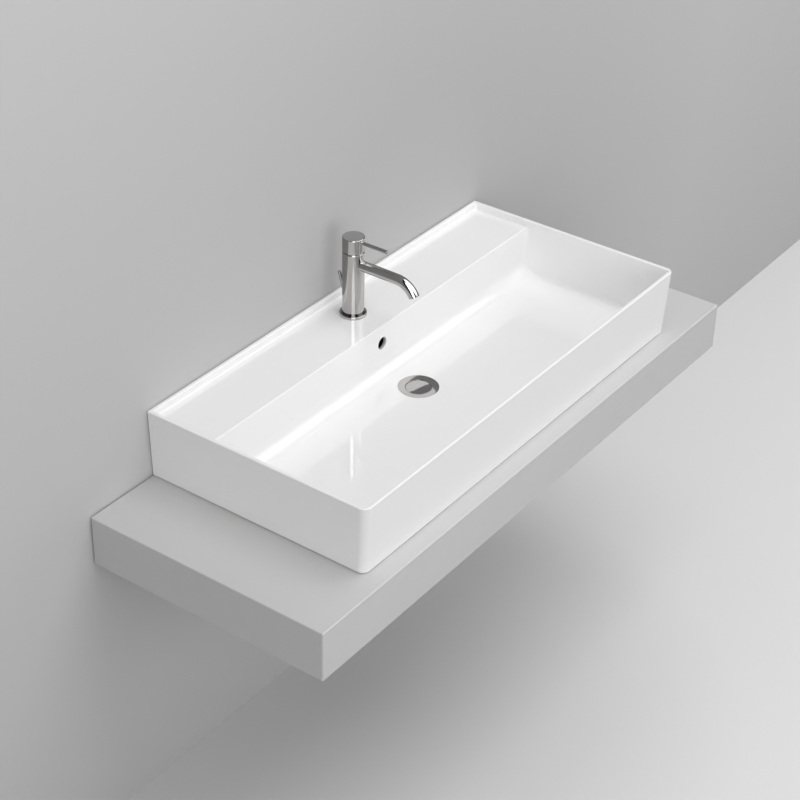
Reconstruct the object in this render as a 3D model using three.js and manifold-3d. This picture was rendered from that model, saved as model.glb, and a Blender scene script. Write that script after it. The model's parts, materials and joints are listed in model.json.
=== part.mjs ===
// A rectangular china washbasin with a tap ledge, set on a hollow slab shelf that hangs on the wall.
// It carries a pin-lever mixer tap, a pop-up waste worked by a lift rod behind the tap, and a bottle trap.
//
// Frame: millimetres, +Z up, wall in the plane y = 0, front towards -Y, middle of the set at x = 0.
// The origin is the middle of the back face of the steel rail that is screwed to the wall.

import * as THREE from 'three';
import { mergeVertices } from 'three/addons/utils/BufferGeometryUtils.js';
import Module from 'manifold-3d';

const wasm = await Module();
wasm.setup();

// ---------------------------------------------------------------- driving dimensions

const CLEARANCE = 0.3;

// shelf: a folded shell, a bottom panel let in between its walls, two ribs and a steel carrier
const SHELF_WIDTH = 1305;
const SHELF_REACH = 506;
const SHELF_THICKNESS = 100;
const SHELF_WALL = 20;
const SHELF_EDGE = 3;
const SHELF_WALL_GAP = 3;
const TOP_CUTOUT_WIDTH = 180;
const TOP_CUTOUT_BACK = 40;
const TOP_CUTOUT_FRONT = 275;
const SERVICE_WIDTH = 220;
const SERVICE_BACK = 30;
const SERVICE_FRONT = 330;
const CUTOUT_CORNER = 20;
const RIB_THICKNESS = 18;
const RIB_OFFSET = 150;
const RAIL_END_GAP = 42.5;
const RAIL_THICKNESS = 6;
const ARM_WIDTH = 30;
const ARM_WALL = 3;
const ARM_LENGTH = 400;
const ARM_FROM_RIB = 95;
const ARM_FROM_END = 92.5;
const SLOT_LENGTH = 26;
const SLOT_WIDTH = 10;
const SLOT_OFFSET = 80;
const SCREW_DIAMETER = 6;
const SCREW_HEAD_DIAMETER = 12;
const SCREW_HEAD_HEIGHT = 4;
const SCREW_FROM_WALL = 330;
const SCREW_GRIP = 8;

// basin, with heights above its own underside and depths from the wall
const BEAD_THICKNESS = 1;
const BEAD_WIDTH = 6;
const BEAD_INSET = 2.5;
const BASIN_WIDTH = 1000;
const BASIN_REACH = 475;
const BASIN_HEIGHT = 137;
const BASIN_WALL_GAP = 1;
const SIDE_DRAFT = 5;
const FRONT_DRAFT = 6;
const FRONT_CORNER = 15;
const BACK_CORNER = 3;
const RIM_WIDTH = 7.5;
const RIM_ROUND = 2.2;
const INNER_DRAFT = 5;
const INNER_CORNER = 11;
const LEDGE_HEIGHT = 122.5;
const LEDGE_FRONT = 137;
const LEDGE_BACK = 9;
const LEDGE_FILLET = 6;
const LEDGE_NOSE = 3;
const FLOOR_HEIGHT = 21.5;
const FLOOR_FALL = 1.2;
const BACK_FILLET = 30;
const SIDE_FILLET = 12;
const CHINA = 11;
const SKIRT = 12;
const WEB_OFFSET = 175;
const WEB_THICKNESS = 12;
const OVERFLOW_DIAMETER = 25;
const OVERFLOW_HEIGHT = 83;
const DUCT_WIDTH = 56;
const DUCT_DEPTH = 15;
const DUCT_LEG_BOTTOM = 3.5;
const DUCT_LEG_HEIGHT = 4.5;
const DUCT_WALL = 6;
const DUCT_FACE = 7.5;
const DRAIN_BOSS_RADIUS = 40;
const UNDERSIDE_RELIEF = 1;

// tap, with heights above the ledge and depths from its own axis
const TAP_FROM_WALL = 66.8;
const TAP_HOLE_DIAMETER = 35;
const TAP_DIAMETER = 42;
const TAP_BODY_HEIGHT = 134.5;
const TAP_CHAMFER = 1;
const BASE_RING_DIAMETER = 50;
const BASE_RING_EDGE = 3;
const BASE_RING_HEIGHT = 7;
const BASE_SEAL_THICKNESS = 1.2;
const SPOUT_DIAMETER = 20.5;
const SPOUT_BORE = 12.6;
const SPOUT_STRAIGHT = 100;
const SPOUT_BEND_RADIUS = 45;
const SPOUT_BEND_ANGLE = 62;
const SPIGOT_DIAMETER = 16.4;
const SPIGOT_DEPTH = 5.5;
const AERATOR_DIAMETER = 18;
const AERATOR_LENGTH = 8;
const AERATOR_WALL = 1.6;
const AERATOR_HOLES = 6;
const AERATOR_HOLE_DIAMETER = 2.2;
const CHAMBER_DIAMETER = 28.4;
const NUT_BORE_DIAMETER = 35.8;
const CARTRIDGE_FLANGE = 2.7;
const CARTRIDGE_NECK_DIAMETER = 26.8;
const CARTRIDGE_WELL_DIAMETER = 23;
const NUT_NOTCHES = 6;
const NUT_NOTCH = 4;
const TURRET_SLOT_LENGTH = 13.4;
const STEM_SIDE = 8;
const TILT_ANGLE = 15;
const STEM_PIN_DIAMETER = 3;
const COLLAR_DIAMETER = 38;
const COLLAR_HEIGHT = 1.9;
const COLLAR_BORE = 24;
const CAP_DIAMETER = 42.4;
const CAP_SKIRT = 1.8;
const LEVER_DIAMETER = 7.5;
const LEVER_REACH = 77.5;
const LEVER_ROOT = 11.5;
const GRUB_DIAMETER = 4.6;
const GRUB_LENGTH = 8;
const INLET_DIAMETER = 10;
const INLET_SPREAD = 17;
const INLET_SETBACK = 0.5;
const STUD_DIAMETER = 8;
const STUD_SETBACK = 12.5;
const STUD_DEPTH_IN_BODY = 18;
const STUD_LENGTH = 52;
const CLAMP_DIAMETER = 54;
const CLAMP_SLOT_WIDTH = 33;
const CLAMP_SLOT_START = 6;
const CLAMP_GASKET_THICKNESS = 3;
const CLAMP_PLATE_THICKNESS = 2.5;
const STUD_NUT_ACROSS_FLATS = 13;
const STUD_NUT_HEIGHT = 10;

// what sits in and on the tap body, as depths below its top and rises above it
const SPOUT_DEPTH = 24.5;
const CHAMBER_DEPTH = 36.5;
const NUT_SEAT_DEPTH = 10.5;
const CARTRIDGE_NECK_DEPTH = 1.5;
const CARTRIDGE_WELL_DEPTH = 18.5;
const TURRET_DEPTH = 3;
const TURRET_SLOT_DEPTH = 16.2;
const STEM_DEPTH = 14.5;
const TILT_DEPTH = 8.5;
const CAP_RISE = 2.5;
const CAP_ROOF_RISE = 11.5;
const GRUB_RISE = 17.5;
const LEVER_RISE = 23.1;
const CAP_TOP_RISE = 31;

// lift rod behind the tap, leaning back; distances along it from the ledge, upwards positive
const LIFT_LEAN = 17;
const LIFT_SETBACK = 8;
const LIFT_ROD_DIAMETER = 4.5;
const LIFT_ROD_BOTTOM = 141;
const LIFT_TRAVEL = 30;
const KNOB_DIAMETER = 7.2;
const KNOB_BOTTOM = 50;
const KNOB_TOP = 84.5;
const KNOB_SOCKET_DEPTH = 10;
const STRAP_BLOCK_LENGTH = 22;
const STRAP_BLOCK_WIDTH = 14;
const STRAP_BLOCK_DEPTH = 10;
const STRAP_SOCKET_DEPTH = 13;
const STRAP_LENGTH = 40;
const STRAP_THICKNESS = 1.5;
const STRAP_HOLE_DIAMETER = 8;
const STRAP_HOLE_PITCH = 12;
const STRAP_SCREW_DIAMETER = 4;
const STRAP_SCREW_HEAD = 9;

// pop-up waste, with heights from the bowl floor, and its ball rod
const WASTE_FROM_WALL = 222;
const WASTE_FLANGE_DIAMETER = 78;
const FLANGE_LIP = 1;
const FLANGE_SHEET = 1.5;
const FLANGE_GASKET = 1.2;
const SEAT_DIAMETER = 50.4;
const SEAT_DEPTH = 7.5;
const WASTE_TUBE_DIAMETER = 41.8;
const WASTE_TUBE_BORE = 36;
const WASTE_TUBE_LENGTH = 42;
const WASTE_HOLE_DIAMETER = 46;
const WASTE_SLOT_WIDTH = 14;
const PLUG_DIAMETER = 49;
const PLUG_TOP = -2;
const PLUG_THICKNESS = 2.7;
const PLUG_SEAL_SECTION = 2.2;
const PLUG_SEAL_RADIUS = 21;
const PLUG_STEM_DIAMETER = 8;
const PLUG_FIN_RADIUS = 16.5;
const PLUG_FIN_THICKNESS = 2;
const PLUG_FIN_LENGTH = 26;
const ADJUSTER_LENGTH = 12;
const ADJUSTER_NUT_ACROSS_FLATS = 10;
const ADJUSTER_NUT_HEIGHT = 4;
const LOWER_GASKET_THICKNESS = 6;
const LOCKNUT_HEIGHT = 10;
const LOCKNUT_DIAMETER = 60;
const LOCKNUT_LUGS = 6;
const WASTE_SOCKET_WALL = 3.5;
const WASTE_BODY_DIAMETER = 38;
const WASTE_BODY_WALL = 3;
const PIVOT_DROP = 77.5;
const PIVOT_REACH = 27;
const PIVOT_HALF_TRAVEL = 10.3;
const PIVOT_BALL_DIAMETER = 12;
const PIVOT_ROD_DIAMETER = 5;
const PIVOT_ROD_INNER = 31;
const PIVOT_ROD_OUTER = 100;
const PORT_DIAMETER = 22;
const PORT_BORE = 18;
const PORT_LENGTH = 34;
const PORT_THROAT = 10.4;
const PIVOT_NUT_WALL = 3;
const PIVOT_NUT_LENGTH = 15;
const PIVOT_NUT_MOUTH = 12;
const TAIL_DIAMETER = 32;
const TAIL_WALL = 1.8;
const SHOULDER_DROP = 95;
const TAIL_DROP = 170;

// bottle trap, with drops below the bowl floor
const TRAP_NUT_TOP = 152;
const TRAP_NUT_HEIGHT = 22;
const TRAP_NUT_DIAMETER = 44;
const TRAP_SEAL_THICKNESS = 4;
const TRAP_TOP = 164;
const TRAP_NECK_HEIGHT = 14;
const TRAP_NECK_DIAMETER = 38;
const TRAP_DIAMETER = 58;
const TRAP_WALL = 3;
const TRAP_BODY_HEIGHT = 46;
const TRAP_THREAD_HEIGHT = 12;
const TRAP_BOTTOM = 292;
const TRAP_CUP_WALL = 2.5;
const TRAP_DIP_DIAMETER = 30;
const TRAP_DIP_BOTTOM = 255;
const TRAP_GRIPS = 12;
const GRIP_DIAMETER = 3;
const OUTLET_DROP = 200;
const OUTLET_BOSS_DIAMETER = 38;
const OUTLET_BOSS_REACH = 44;
const OUTLET_NUT_DIAMETER = 46;
const OUTLET_NUT_LENGTH = 16;
const OUTLET_PIPE_DIAMETER = 32;
const OUTLET_PIPE_WALL = 1.8;
const ROSETTE_DIAMETER = 70;
const ROSETTE_DEPTH = 12;
const ROSETTE_SHEET = 1.5;

// smoothness
const FINE = 20;
const MEDIUM = 16;
const COARSE = 12;
const CORNER_STEPS = 4;
const ROUND_STEPS = 3;
const TINY = 6;
const FILLET_STEPS = 5;
const SPOUT_STEPS = 12;
const SPOUT_BORE_STEPS = 7;

// ---------------------------------------------------------------- levels and places

const SHELF_TOP = SHELF_THICKNESS / 2;
const SHELF_INSIDE = SHELF_TOP - SHELF_WALL;
const RAIL_WIDTH = SHELF_WIDTH - 2 * (SHELF_WALL + RAIL_END_GAP);
const ARM_INNER_X = RIB_OFFSET + ARM_FROM_RIB;
const ARM_OUTER_X = SHELF_WIDTH / 2 - ARM_FROM_END;
const BASIN_Z = SHELF_TOP + BEAD_THICKNESS;
const LEDGE_Z = BASIN_Z + LEDGE_HEIGHT;
const FLOOR_Z = BASIN_Z + FLOOR_HEIGHT;
const DRAIN_Z = FLOOR_Z - FLOOR_FALL;
const RIM_Z = BASIN_Z + BASIN_HEIGHT;
const TAP_Y = -TAP_FROM_WALL;
const SPOUT_HEIGHT = TAP_BODY_HEIGHT - SPOUT_DEPTH;
const CHAMBER_FLOOR = TAP_BODY_HEIGHT - CHAMBER_DEPTH;
const NUT_SEAT_HEIGHT = TAP_BODY_HEIGHT - NUT_SEAT_DEPTH;
const CARTRIDGE_NECK_TOP = TAP_BODY_HEIGHT - CARTRIDGE_NECK_DEPTH;
const CARTRIDGE_WELL_FLOOR = TAP_BODY_HEIGHT - CARTRIDGE_WELL_DEPTH;
const TURRET_TOP = TAP_BODY_HEIGHT - TURRET_DEPTH;
const TURRET_SLOT_FLOOR = TAP_BODY_HEIGHT - TURRET_SLOT_DEPTH;
const STEM_BOTTOM = TAP_BODY_HEIGHT - STEM_DEPTH;
const TILT_HEIGHT = TAP_BODY_HEIGHT - TILT_DEPTH;
const CAP_BOTTOM = TAP_BODY_HEIGHT + CAP_RISE;
const CAP_ROOF_UNDERSIDE = TAP_BODY_HEIGHT + CAP_ROOF_RISE;
const GRUB_HEIGHT = TAP_BODY_HEIGHT + GRUB_RISE;
const LEVER_HEIGHT = TAP_BODY_HEIGHT + LEVER_RISE;
const TAP_HEIGHT = TAP_BODY_HEIGHT + CAP_TOP_RISE;
const WASTE_Y = -WASTE_FROM_WALL;
const BOSS_Z = BASIN_Z + UNDERSIDE_RELIEF;
const PIVOT_Y = WASTE_Y + PIVOT_REACH;
const PIVOT_Z = FLOOR_Z - PIVOT_DROP;
const LOCKNUT_TOP = BOSS_Z - LOWER_GASKET_THICKNESS;
const WASTE_TUBE_BOTTOM = DRAIN_Z - WASTE_TUBE_LENGTH;
const radians = THREE.MathUtils.degToRad;

// ---------------------------------------------------------------- solids from three.js geometry

// A manifold solid from a closed three.js geometry, with its faces turned outwards.
function solid(geometry) {
  const bare = new THREE.BufferGeometry();
  bare.setAttribute('position', geometry.getAttribute('position'));
  bare.setIndex(geometry.getIndex());
  const merged = mergeVertices(bare, 1e-4);
  const points = merged.getAttribute('position');
  const index = Array.from(merged.getIndex().array);
  const kept = [];
  let volume = 0;
  const a = new THREE.Vector3();
  const b = new THREE.Vector3();
  const c = new THREE.Vector3();
  for (let i = 0; i < index.length; i += 3) {
    const [p, q, r] = [index[i], index[i + 1], index[i + 2]];
    if (p === q || q === r || r === p) continue;
    kept.push(p, q, r);
    a.fromBufferAttribute(points, p);
    b.fromBufferAttribute(points, q);
    c.fromBufferAttribute(points, r);
    volume += a.dot(b.cross(c));
  }
  if (volume < 0) {
    for (let i = 0; i < kept.length; i += 3) {
      [kept[i + 1], kept[i + 2]] = [kept[i + 2], kept[i + 1]];
    }
  }
  return new wasm.Manifold(new wasm.Mesh({
    numProp: 3,
    vertProperties: Float32Array.from(points.array),
    triVerts: Uint32Array.from(kept),
  }));
}

function cut(body, ...tools) {
  return tools.reduce((rest, tool) => rest.subtract(tool), body);
}

function join(first, ...others) {
  return others.reduce((whole, other) => whole.add(other), first);
}

function placed(geometry, matrix) {
  return solid(geometry.applyMatrix4(matrix));
}

function moved(x, y, z) {
  return new THREE.Matrix4().makeTranslation(x, y, z);
}

function block(x0, x1, y0, y1, z0, z1) {
  const geometry = new THREE.BoxGeometry(x1 - x0, y1 - y0, z1 - z0);
  return placed(geometry, moved((x0 + x1) / 2, (y0 + y1) / 2, (z0 + z1) / 2));
}

// A round rod between two points.
function rod(from, to, diameter, segments = MEDIUM) {
  const axis = to.clone().sub(from);
  const geometry = new THREE.CylinderGeometry(diameter / 2, diameter / 2, axis.length(), segments);
  const turn = new THREE.Quaternion().setFromUnitVectors(
    new THREE.Vector3(0, 1, 0), axis.clone().normalize());
  const middle = from.clone().add(to).multiplyScalar(0.5);
  return placed(geometry, new THREE.Matrix4().compose(middle, turn, new THREE.Vector3(1, 1, 1)));
}

function uprightRod(x, y, z0, z1, diameter, segments = MEDIUM) {
  return rod(new THREE.Vector3(x, y, z0), new THREE.Vector3(x, y, z1), diameter, segments);
}

// A revolved profile of [radius, height] points, round the line through (x, y) along +Z,
// or along the direction given.
function revolve(profile, x, y, z, segments = FINE, direction = new THREE.Vector3(0, 0, 1)) {
  const points = profile.map(([r, h]) => new THREE.Vector2(r, h));
  if (points[0].x > 0) points.push(points[0].clone());
  const geometry = new THREE.LatheGeometry(points, segments);
  const turn = new THREE.Quaternion().setFromUnitVectors(new THREE.Vector3(0, 1, 0), direction);
  const place = new THREE.Vector3(x, y, z);
  return placed(geometry, new THREE.Matrix4().compose(place, turn, new THREE.Vector3(1, 1, 1)));
}

// A tube, or a ring of rectangular section.
function tube(x, y, z0, z1, outer, inner, segments = FINE) {
  return revolve([[inner / 2, z0], [outer / 2, z0], [outer / 2, z1], [inner / 2, z1]], x, y, 0, segments);
}

// A flat outline of [x, y] points raised from z0 to z1.
function prism(points, z0, z1) {
  const shape = new THREE.Shape(points.map(([x, y]) => new THREE.Vector2(x, y)));
  const geometry = new THREE.ExtrudeGeometry(shape, { depth: z1 - z0, bevelEnabled: false });
  return placed(geometry, moved(0, 0, z0));
}

// Points of a rectangle with rounded corners, counter-clockwise, with its own radius at the back.
function roundedOutline(x0, x1, front, back, frontRadius, backRadius) {
  const corners = [
    [x0 + frontRadius, front + frontRadius, frontRadius, 180],
    [x1 - frontRadius, front + frontRadius, frontRadius, 270],
    [x1 - backRadius, back - backRadius, backRadius, 0],
    [x0 + backRadius, back - backRadius, backRadius, 90],
  ];
  const points = [];
  for (const [cx, cy, radius, start] of corners) {
    for (let i = 0; i <= CORNER_STEPS; i += 1) {
      const angle = radians(start + (90 * i) / CORNER_STEPS);
      points.push([cx + radius * Math.cos(angle), cy + radius * Math.sin(angle)]);
    }
  }
  return points;
}

// A closed loft through outlines of equal length, given from the bottom up as { points, z }.
// The last one may be a single point, which closes the loft as a shallow cone.
function loft(rings) {
  const positions = [];
  const index = [];
  const count = rings[0].points.length;
  for (const ring of rings) {
    for (const [x, y] of ring.points) positions.push(x, y, ring.z);
  }
  for (let level = 0; level + 1 < rings.length; level += 1) {
    for (let i = 0; i < count; i += 1) {
      const a = level * count + i;
      const b = level * count + ((i + 1) % count);
      index.push(a, b, b + count, a, b + count, a + count);
    }
  }
  const cap = (level, upward, apex) => {
    const start = level * count;
    const centre = positions.length / 3;
    positions.push(...apex);
    for (let i = 0; i < count; i += 1) {
      const next = start + ((i + 1) % count);
      if (upward) index.push(start + i, next, centre);
      else index.push(next, start + i, centre);
    }
  };
  const middle = (ring) => {
    const sum = ring.points.reduce(([sx, sy], [x, y]) => [sx + x, sy + y], [0, 0]);
    return [sum[0] / count, sum[1] / count, ring.z];
  };
  cap(0, false, rings[0].apex ?? middle(rings[0]));
  cap(rings.length - 1, true, middle(rings[rings.length - 1]));
  const geometry = new THREE.BufferGeometry();
  geometry.setAttribute('position', new THREE.Float32BufferAttribute(positions, 3));
  geometry.setIndex(index);
  return solid(geometry);
}

// Steps through a quarter round of the given radius: how far in and how far along, from its start.
function quarterRound(radius, steps) {
  return Array.from({ length: steps + 1 }, (_, i) => {
    const angle = radians((90 * i) / steps);
    return { inward: radius * (1 - Math.cos(angle)), along: radius * Math.sin(angle) };
  });
}

// ---------------------------------------------------------------- materials and the assembly

const MATERIALS = {
  china: { color: 0xf4f4f2, roughness: 0.08, metalness: 0 },
  lacquer: { color: 0xbcbcbc, roughness: 0.5, metalness: 0 },
  board: { color: 0xa9a59e, roughness: 0.7, metalness: 0 },
  steel: { color: 0x8f9296, roughness: 0.45, metalness: 1 },
  chrome: { color: 0xd6d6d8, roughness: 0.06, metalness: 1 },
  brass: { color: 0xb08d4a, roughness: 0.35, metalness: 1 },
  rubber: { color: 0x1c1c1c, roughness: 0.8, metalness: 0 },
  silicone: { color: 0xe4e4e0, roughness: 0.5, metalness: 0 },
  nylon: { color: 0xe6e4dc, roughness: 0.45, metalness: 0 },
};

const washbasin = new THREE.Group();

function add(name, material, body, parent = washbasin) {
  const source = body.getMesh();
  const geometry = new THREE.BufferGeometry();
  geometry.setAttribute('position', new THREE.BufferAttribute(source.vertProperties, source.numProp));
  geometry.setIndex(new THREE.BufferAttribute(source.triVerts, 1));
  geometry.computeVertexNormals();
  const mesh = new THREE.Mesh(geometry, new THREE.MeshStandardMaterial(MATERIALS[material]));
  mesh.name = name;
  parent.add(mesh);
}

// ---------------------------------------------------------------- shelf

const shelfHalf = SHELF_WIDTH / 2;
const innerHalf = shelfHalf - SHELF_WALL;
const shelfBack = -SHELF_WALL_GAP;
const innerFront = -(SHELF_REACH - SHELF_WALL);

function cutoutOutline(width, back, front) {
  return roundedOutline(-width / 2, width / 2, -front, -back, CUTOUT_CORNER, CUTOUT_CORNER);
}

// The shell that shows: top, front and two ends in one, open at the back and below.
function shelfShell() {
  const ring = (inset, z) => ({
    points: roundedOutline(-shelfHalf + inset, shelfHalf - inset, -SHELF_REACH + inset, shelfBack,
      SHELF_EDGE, 1),
    z,
  });
  const rounds = quarterRound(SHELF_EDGE, ROUND_STEPS);
  const lower = rounds.map(({ inward, along }) => ring(inward, -SHELF_TOP + SHELF_EDGE - along));
  const upper = rounds.map(({ inward, along }) => ring(inward, SHELF_TOP - SHELF_EDGE + along));
  const slab = loft([...lower.reverse(), ...upper]);
  const hollow = block(-innerHalf, innerHalf, innerFront, 1, -SHELF_TOP - 1, SHELF_INSIDE);
  const cutout = prism(cutoutOutline(TOP_CUTOUT_WIDTH, TOP_CUTOUT_BACK, TOP_CUTOUT_FRONT),
    SHELF_INSIDE - 1, SHELF_TOP + 1);
  return cut(slab, hollow, cutout);
}

const screwPlaces = [-ARM_OUTER_X, -ARM_INNER_X, ARM_INNER_X, ARM_OUTER_X];
const panelTop = -SHELF_INSIDE;

// The bottom panel, let in between the shell's walls, with the service opening and screw holes.
function shelfBottomPanel() {
  const panel = block(-innerHalf + CLEARANCE, innerHalf - CLEARANCE, innerFront + CLEARANCE, shelfBack,
    -SHELF_TOP, panelTop);
  const service = prism(cutoutOutline(SERVICE_WIDTH, SERVICE_BACK, SERVICE_FRONT),
    -SHELF_TOP - 1, panelTop + 1);
  const holes = screwPlaces.map((x) => join(
    uprightRod(x, -SCREW_FROM_WALL, -SHELF_TOP - 1, panelTop + 1, SCREW_DIAMETER + 2 * CLEARANCE, COARSE),
    uprightRod(x, -SCREW_FROM_WALL, -SHELF_TOP - 1, -SHELF_TOP + SCREW_HEAD_HEIGHT + CLEARANCE,
      SCREW_HEAD_DIAMETER + 2, COARSE),
  ));
  return cut(panel, service, ...holes);
}

function shelfRib(side) {
  const x = side * RIB_OFFSET;
  return block(x - RIB_THICKNESS / 2, x + RIB_THICKNESS / 2, innerFront + CLEARANCE,
    -RAIL_THICKNESS - CLEARANCE, panelTop + CLEARANCE, SHELF_INSIDE - CLEARANCE);
}

// The rail on the wall, with slots for the wall screws either side of each arm.
function wallRail() {
  const top = SHELF_INSIDE - CLEARANCE;
  const rail = block(-RAIL_WIDTH / 2, RAIL_WIDTH / 2, -RAIL_THICKNESS, 0, -top, top);
  const slots = [];
  for (const side of [-1, 1]) {
    for (const x of [ARM_INNER_X + SLOT_OFFSET, ARM_OUTER_X - SLOT_OFFSET]) {
      const run = (SLOT_LENGTH - SLOT_WIDTH) / 2;
      const ends = [-run, run].map((dx) => rod(new THREE.Vector3(side * x + dx, -RAIL_THICKNESS - 1, 0),
        new THREE.Vector3(side * x + dx, 1, 0), SLOT_WIDTH, COARSE));
      const middle = block(side * x - run, side * x + run, -RAIL_THICKNESS - 1, 1,
        -SLOT_WIDTH / 2, SLOT_WIDTH / 2);
      slots.push(join(middle, ...ends));
    }
  }
  return cut(rail, ...slots);
}

// A rectangular tube that stands out from the rail, inside the shelf, tapped below for its screw.
function carrierArm(x) {
  const half = ARM_WIDTH / 2;
  const top = SHELF_INSIDE - CLEARANCE;
  const back = -RAIL_THICKNESS;
  const outside = block(x - half, x + half, back - ARM_LENGTH, back, -top, top);
  const inside = block(x - half + ARM_WALL, x + half - ARM_WALL, back - ARM_LENGTH - 1, back + 1,
    -top + ARM_WALL, top - ARM_WALL);
  const tapping = uprightRod(x, -SCREW_FROM_WALL, -top - 1, -top + ARM_WALL + 1,
    SCREW_DIAMETER + 2 * CLEARANCE, COARSE);
  return cut(outside, inside, tapping);
}

// A socket screw from below through the bottom panel into an arm.
function shelfScrew(x) {
  const under = -SHELF_TOP + 0.5;
  const neck = under + SCREW_HEAD_HEIGHT - 0.5;
  const tip = panelTop + CLEARANCE + SCREW_GRIP;
  const head = SCREW_HEAD_DIAMETER / 2;
  const shank = SCREW_DIAMETER / 2;
  const blank = revolve([[0, under], [head, under], [head, neck], [shank, neck], [shank, tip], [0, tip]],
    x, -SCREW_FROM_WALL, 0, COARSE);
  const socket = new THREE.CylinderGeometry(shank * 0.9, shank * 0.9, 4, 6).rotateX(Math.PI / 2);
  return cut(blank, placed(socket, moved(x, -SCREW_FROM_WALL, under)));
}

add('shelf_shell', 'lacquer', shelfShell());
add('shelf_bottom_panel', 'lacquer', shelfBottomPanel());
add('shelf_rib_left', 'board', shelfRib(-1));
add('shelf_rib_right', 'board', shelfRib(1));
add('wall_rail', 'steel', wallRail());
screwPlaces.forEach((x, i) => {
  add(`carrier_arm_${i + 1}`, 'steel', carrierArm(x));
  add(`shelf_screw_${i + 1}`, 'steel', shelfScrew(x));
});

// ---------------------------------------------------------------- basin

// Outline of the basin's outside at a height above its underside, pulled in by an inset.
function outerOutline(height, inset = 0) {
  const rise = 1 - height / BASIN_HEIGHT;
  const half = BASIN_WIDTH / 2 - SIDE_DRAFT * rise - inset;
  const front = -(BASIN_REACH - FRONT_DRAFT * rise) + inset;
  return roundedOutline(-half, half, front, -BASIN_WALL_GAP - inset,
    Math.max(FRONT_CORNER - inset, 0.5), Math.max(BACK_CORNER - inset, 0.5));
}

// Outline of the inside at a height, between a back edge and the front wall.
function innerOutline(height, back, inset, backInset) {
  const drop = (BASIN_HEIGHT - height) / BASIN_HEIGHT;
  const half = BASIN_WIDTH / 2 - RIM_WIDTH - INNER_DRAFT * drop - inset;
  const front = -(BASIN_REACH - RIM_WIDTH - INNER_DRAFT * drop) + inset;
  return roundedOutline(-half, half, front, -back - backInset, INNER_CORNER, INNER_CORNER);
}

function basinOutside() {
  const rounds = quarterRound(RIM_ROUND, ROUND_STEPS);
  const rings = [{ points: outerOutline(0), z: BASIN_Z }];
  for (const { inward, along } of rounds) {
    const height = BASIN_HEIGHT - RIM_ROUND + along;
    rings.push({ points: outerOutline(height, inward), z: BASIN_Z + height });
  }
  return loft(rings);
}

// The space above the ledge, from the rear rim to the front wall, rounded out at the rim.
function spaceAboveLedge() {
  const rings = [];
  for (const { inward, along } of quarterRound(LEDGE_FILLET, FILLET_STEPS).reverse()) {
    const height = LEDGE_HEIGHT + LEDGE_FILLET - along;
    rings.push({ points: innerOutline(height, LEDGE_BACK, 0, inward), z: BASIN_Z + height });
  }
  for (const { inward, along } of quarterRound(RIM_ROUND, ROUND_STEPS)) {
    const height = BASIN_HEIGHT - RIM_ROUND + along;
    rings.push({ points: innerOutline(height, LEDGE_BACK, -inward, -inward), z: BASIN_Z + height });
  }
  const top = innerOutline(BASIN_HEIGHT, LEDGE_BACK, -RIM_ROUND, -RIM_ROUND);
  rings.push({ points: top, z: RIM_Z + 1 });
  return loft(rings);
}

// The bowl below the ledge: a deep fillet at the back, smaller ones round the other sides,
// and a floor that falls to the waste.
function bowlSpace() {
  const rings = [];
  const levels = quarterRound(BACK_FILLET, FILLET_STEPS).map(({ along }) => BACK_FILLET - along);
  const sideLevels = quarterRound(SIDE_FILLET, ROUND_STEPS).map(({ along }) => SIDE_FILLET - along);
  const heights = [...new Set([...levels, ...sideLevels])].sort((a, b) => a - b);
  const fillet = (radius, h) => (h < radius ? radius - Math.sqrt(radius ** 2 - (radius - h) ** 2) : 0);
  for (const h of heights) {
    const height = FLOOR_HEIGHT + h;
    rings.push({
      points: innerOutline(height, LEDGE_FRONT, fillet(SIDE_FILLET, h), fillet(BACK_FILLET, h)),
      z: BASIN_Z + height,
    });
  }
  rings[0].apex = [0, WASTE_Y, DRAIN_Z];
  for (const { inward, along } of quarterRound(LEDGE_NOSE, ROUND_STEPS)) {
    const height = LEDGE_HEIGHT - LEDGE_NOSE + along;
    rings.push({ points: innerOutline(height, LEDGE_FRONT, 0, -inward), z: BASIN_Z + height });
  }
  const above = LEDGE_HEIGHT + LEDGE_NOSE;
  rings.push({ points: innerOutline(above, LEDGE_FRONT, 1, 1), z: BASIN_Z + above });
  return loft(rings);
}

// What the underside is hollowed by: a deep space behind the bowl and a shallow one below it.
function undersideHollow() {
  const half = BASIN_WIDTH / 2 - SIDE_DRAFT - SKIRT;
  const back = -BASIN_WALL_GAP - CHINA;
  const front = -(BASIN_REACH - FRONT_DRAFT - SKIRT);
  const bowlBack = -LEDGE_FRONT + CHINA;
  const ledgeUnder = BASIN_Z + LEDGE_HEIGHT - CHINA;
  const floorUnder = BASIN_Z + FLOOR_HEIGHT - CHINA;
  const below = BASIN_Z - 1;
  const behind = block(-half, half, bowlBack, back, below, ledgeUnder);
  const under = block(-half, half, front, bowlBack + 1, below, floorUnder);
  const webs = [-1, 1].map((side) => block(side * WEB_OFFSET - WEB_THICKNESS / 2,
    side * WEB_OFFSET + WEB_THICKNESS / 2, front - 1, back + 1, below - 1, ledgeUnder + 1));
  return cut(join(behind, under), ...webs);
}

// The cast overflow duct behind the bowl and its leg below the floor to the waste, as outside
// or, with a negative growth, as the space inside.
function ductForm(grow) {
  const half = DUCT_WIDTH / 2 + grow;
  const front = -LEDGE_FRONT + DUCT_FACE;
  const top = BASIN_Z + OVERFLOW_HEIGHT + OVERFLOW_DIAMETER / 2 + 4 + grow;
  const legBottom = BASIN_Z + DUCT_LEG_BOTTOM - grow;
  const legTop = BASIN_Z + DUCT_LEG_BOTTOM + DUCT_LEG_HEIGHT + grow;
  const shaft = block(-half, half, front - grow, front + DUCT_DEPTH + grow, legBottom, top);
  const leg = block(-half, half, WASTE_Y, front + DUCT_DEPTH + grow, legBottom, legTop);
  return join(shaft, leg);
}

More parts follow.
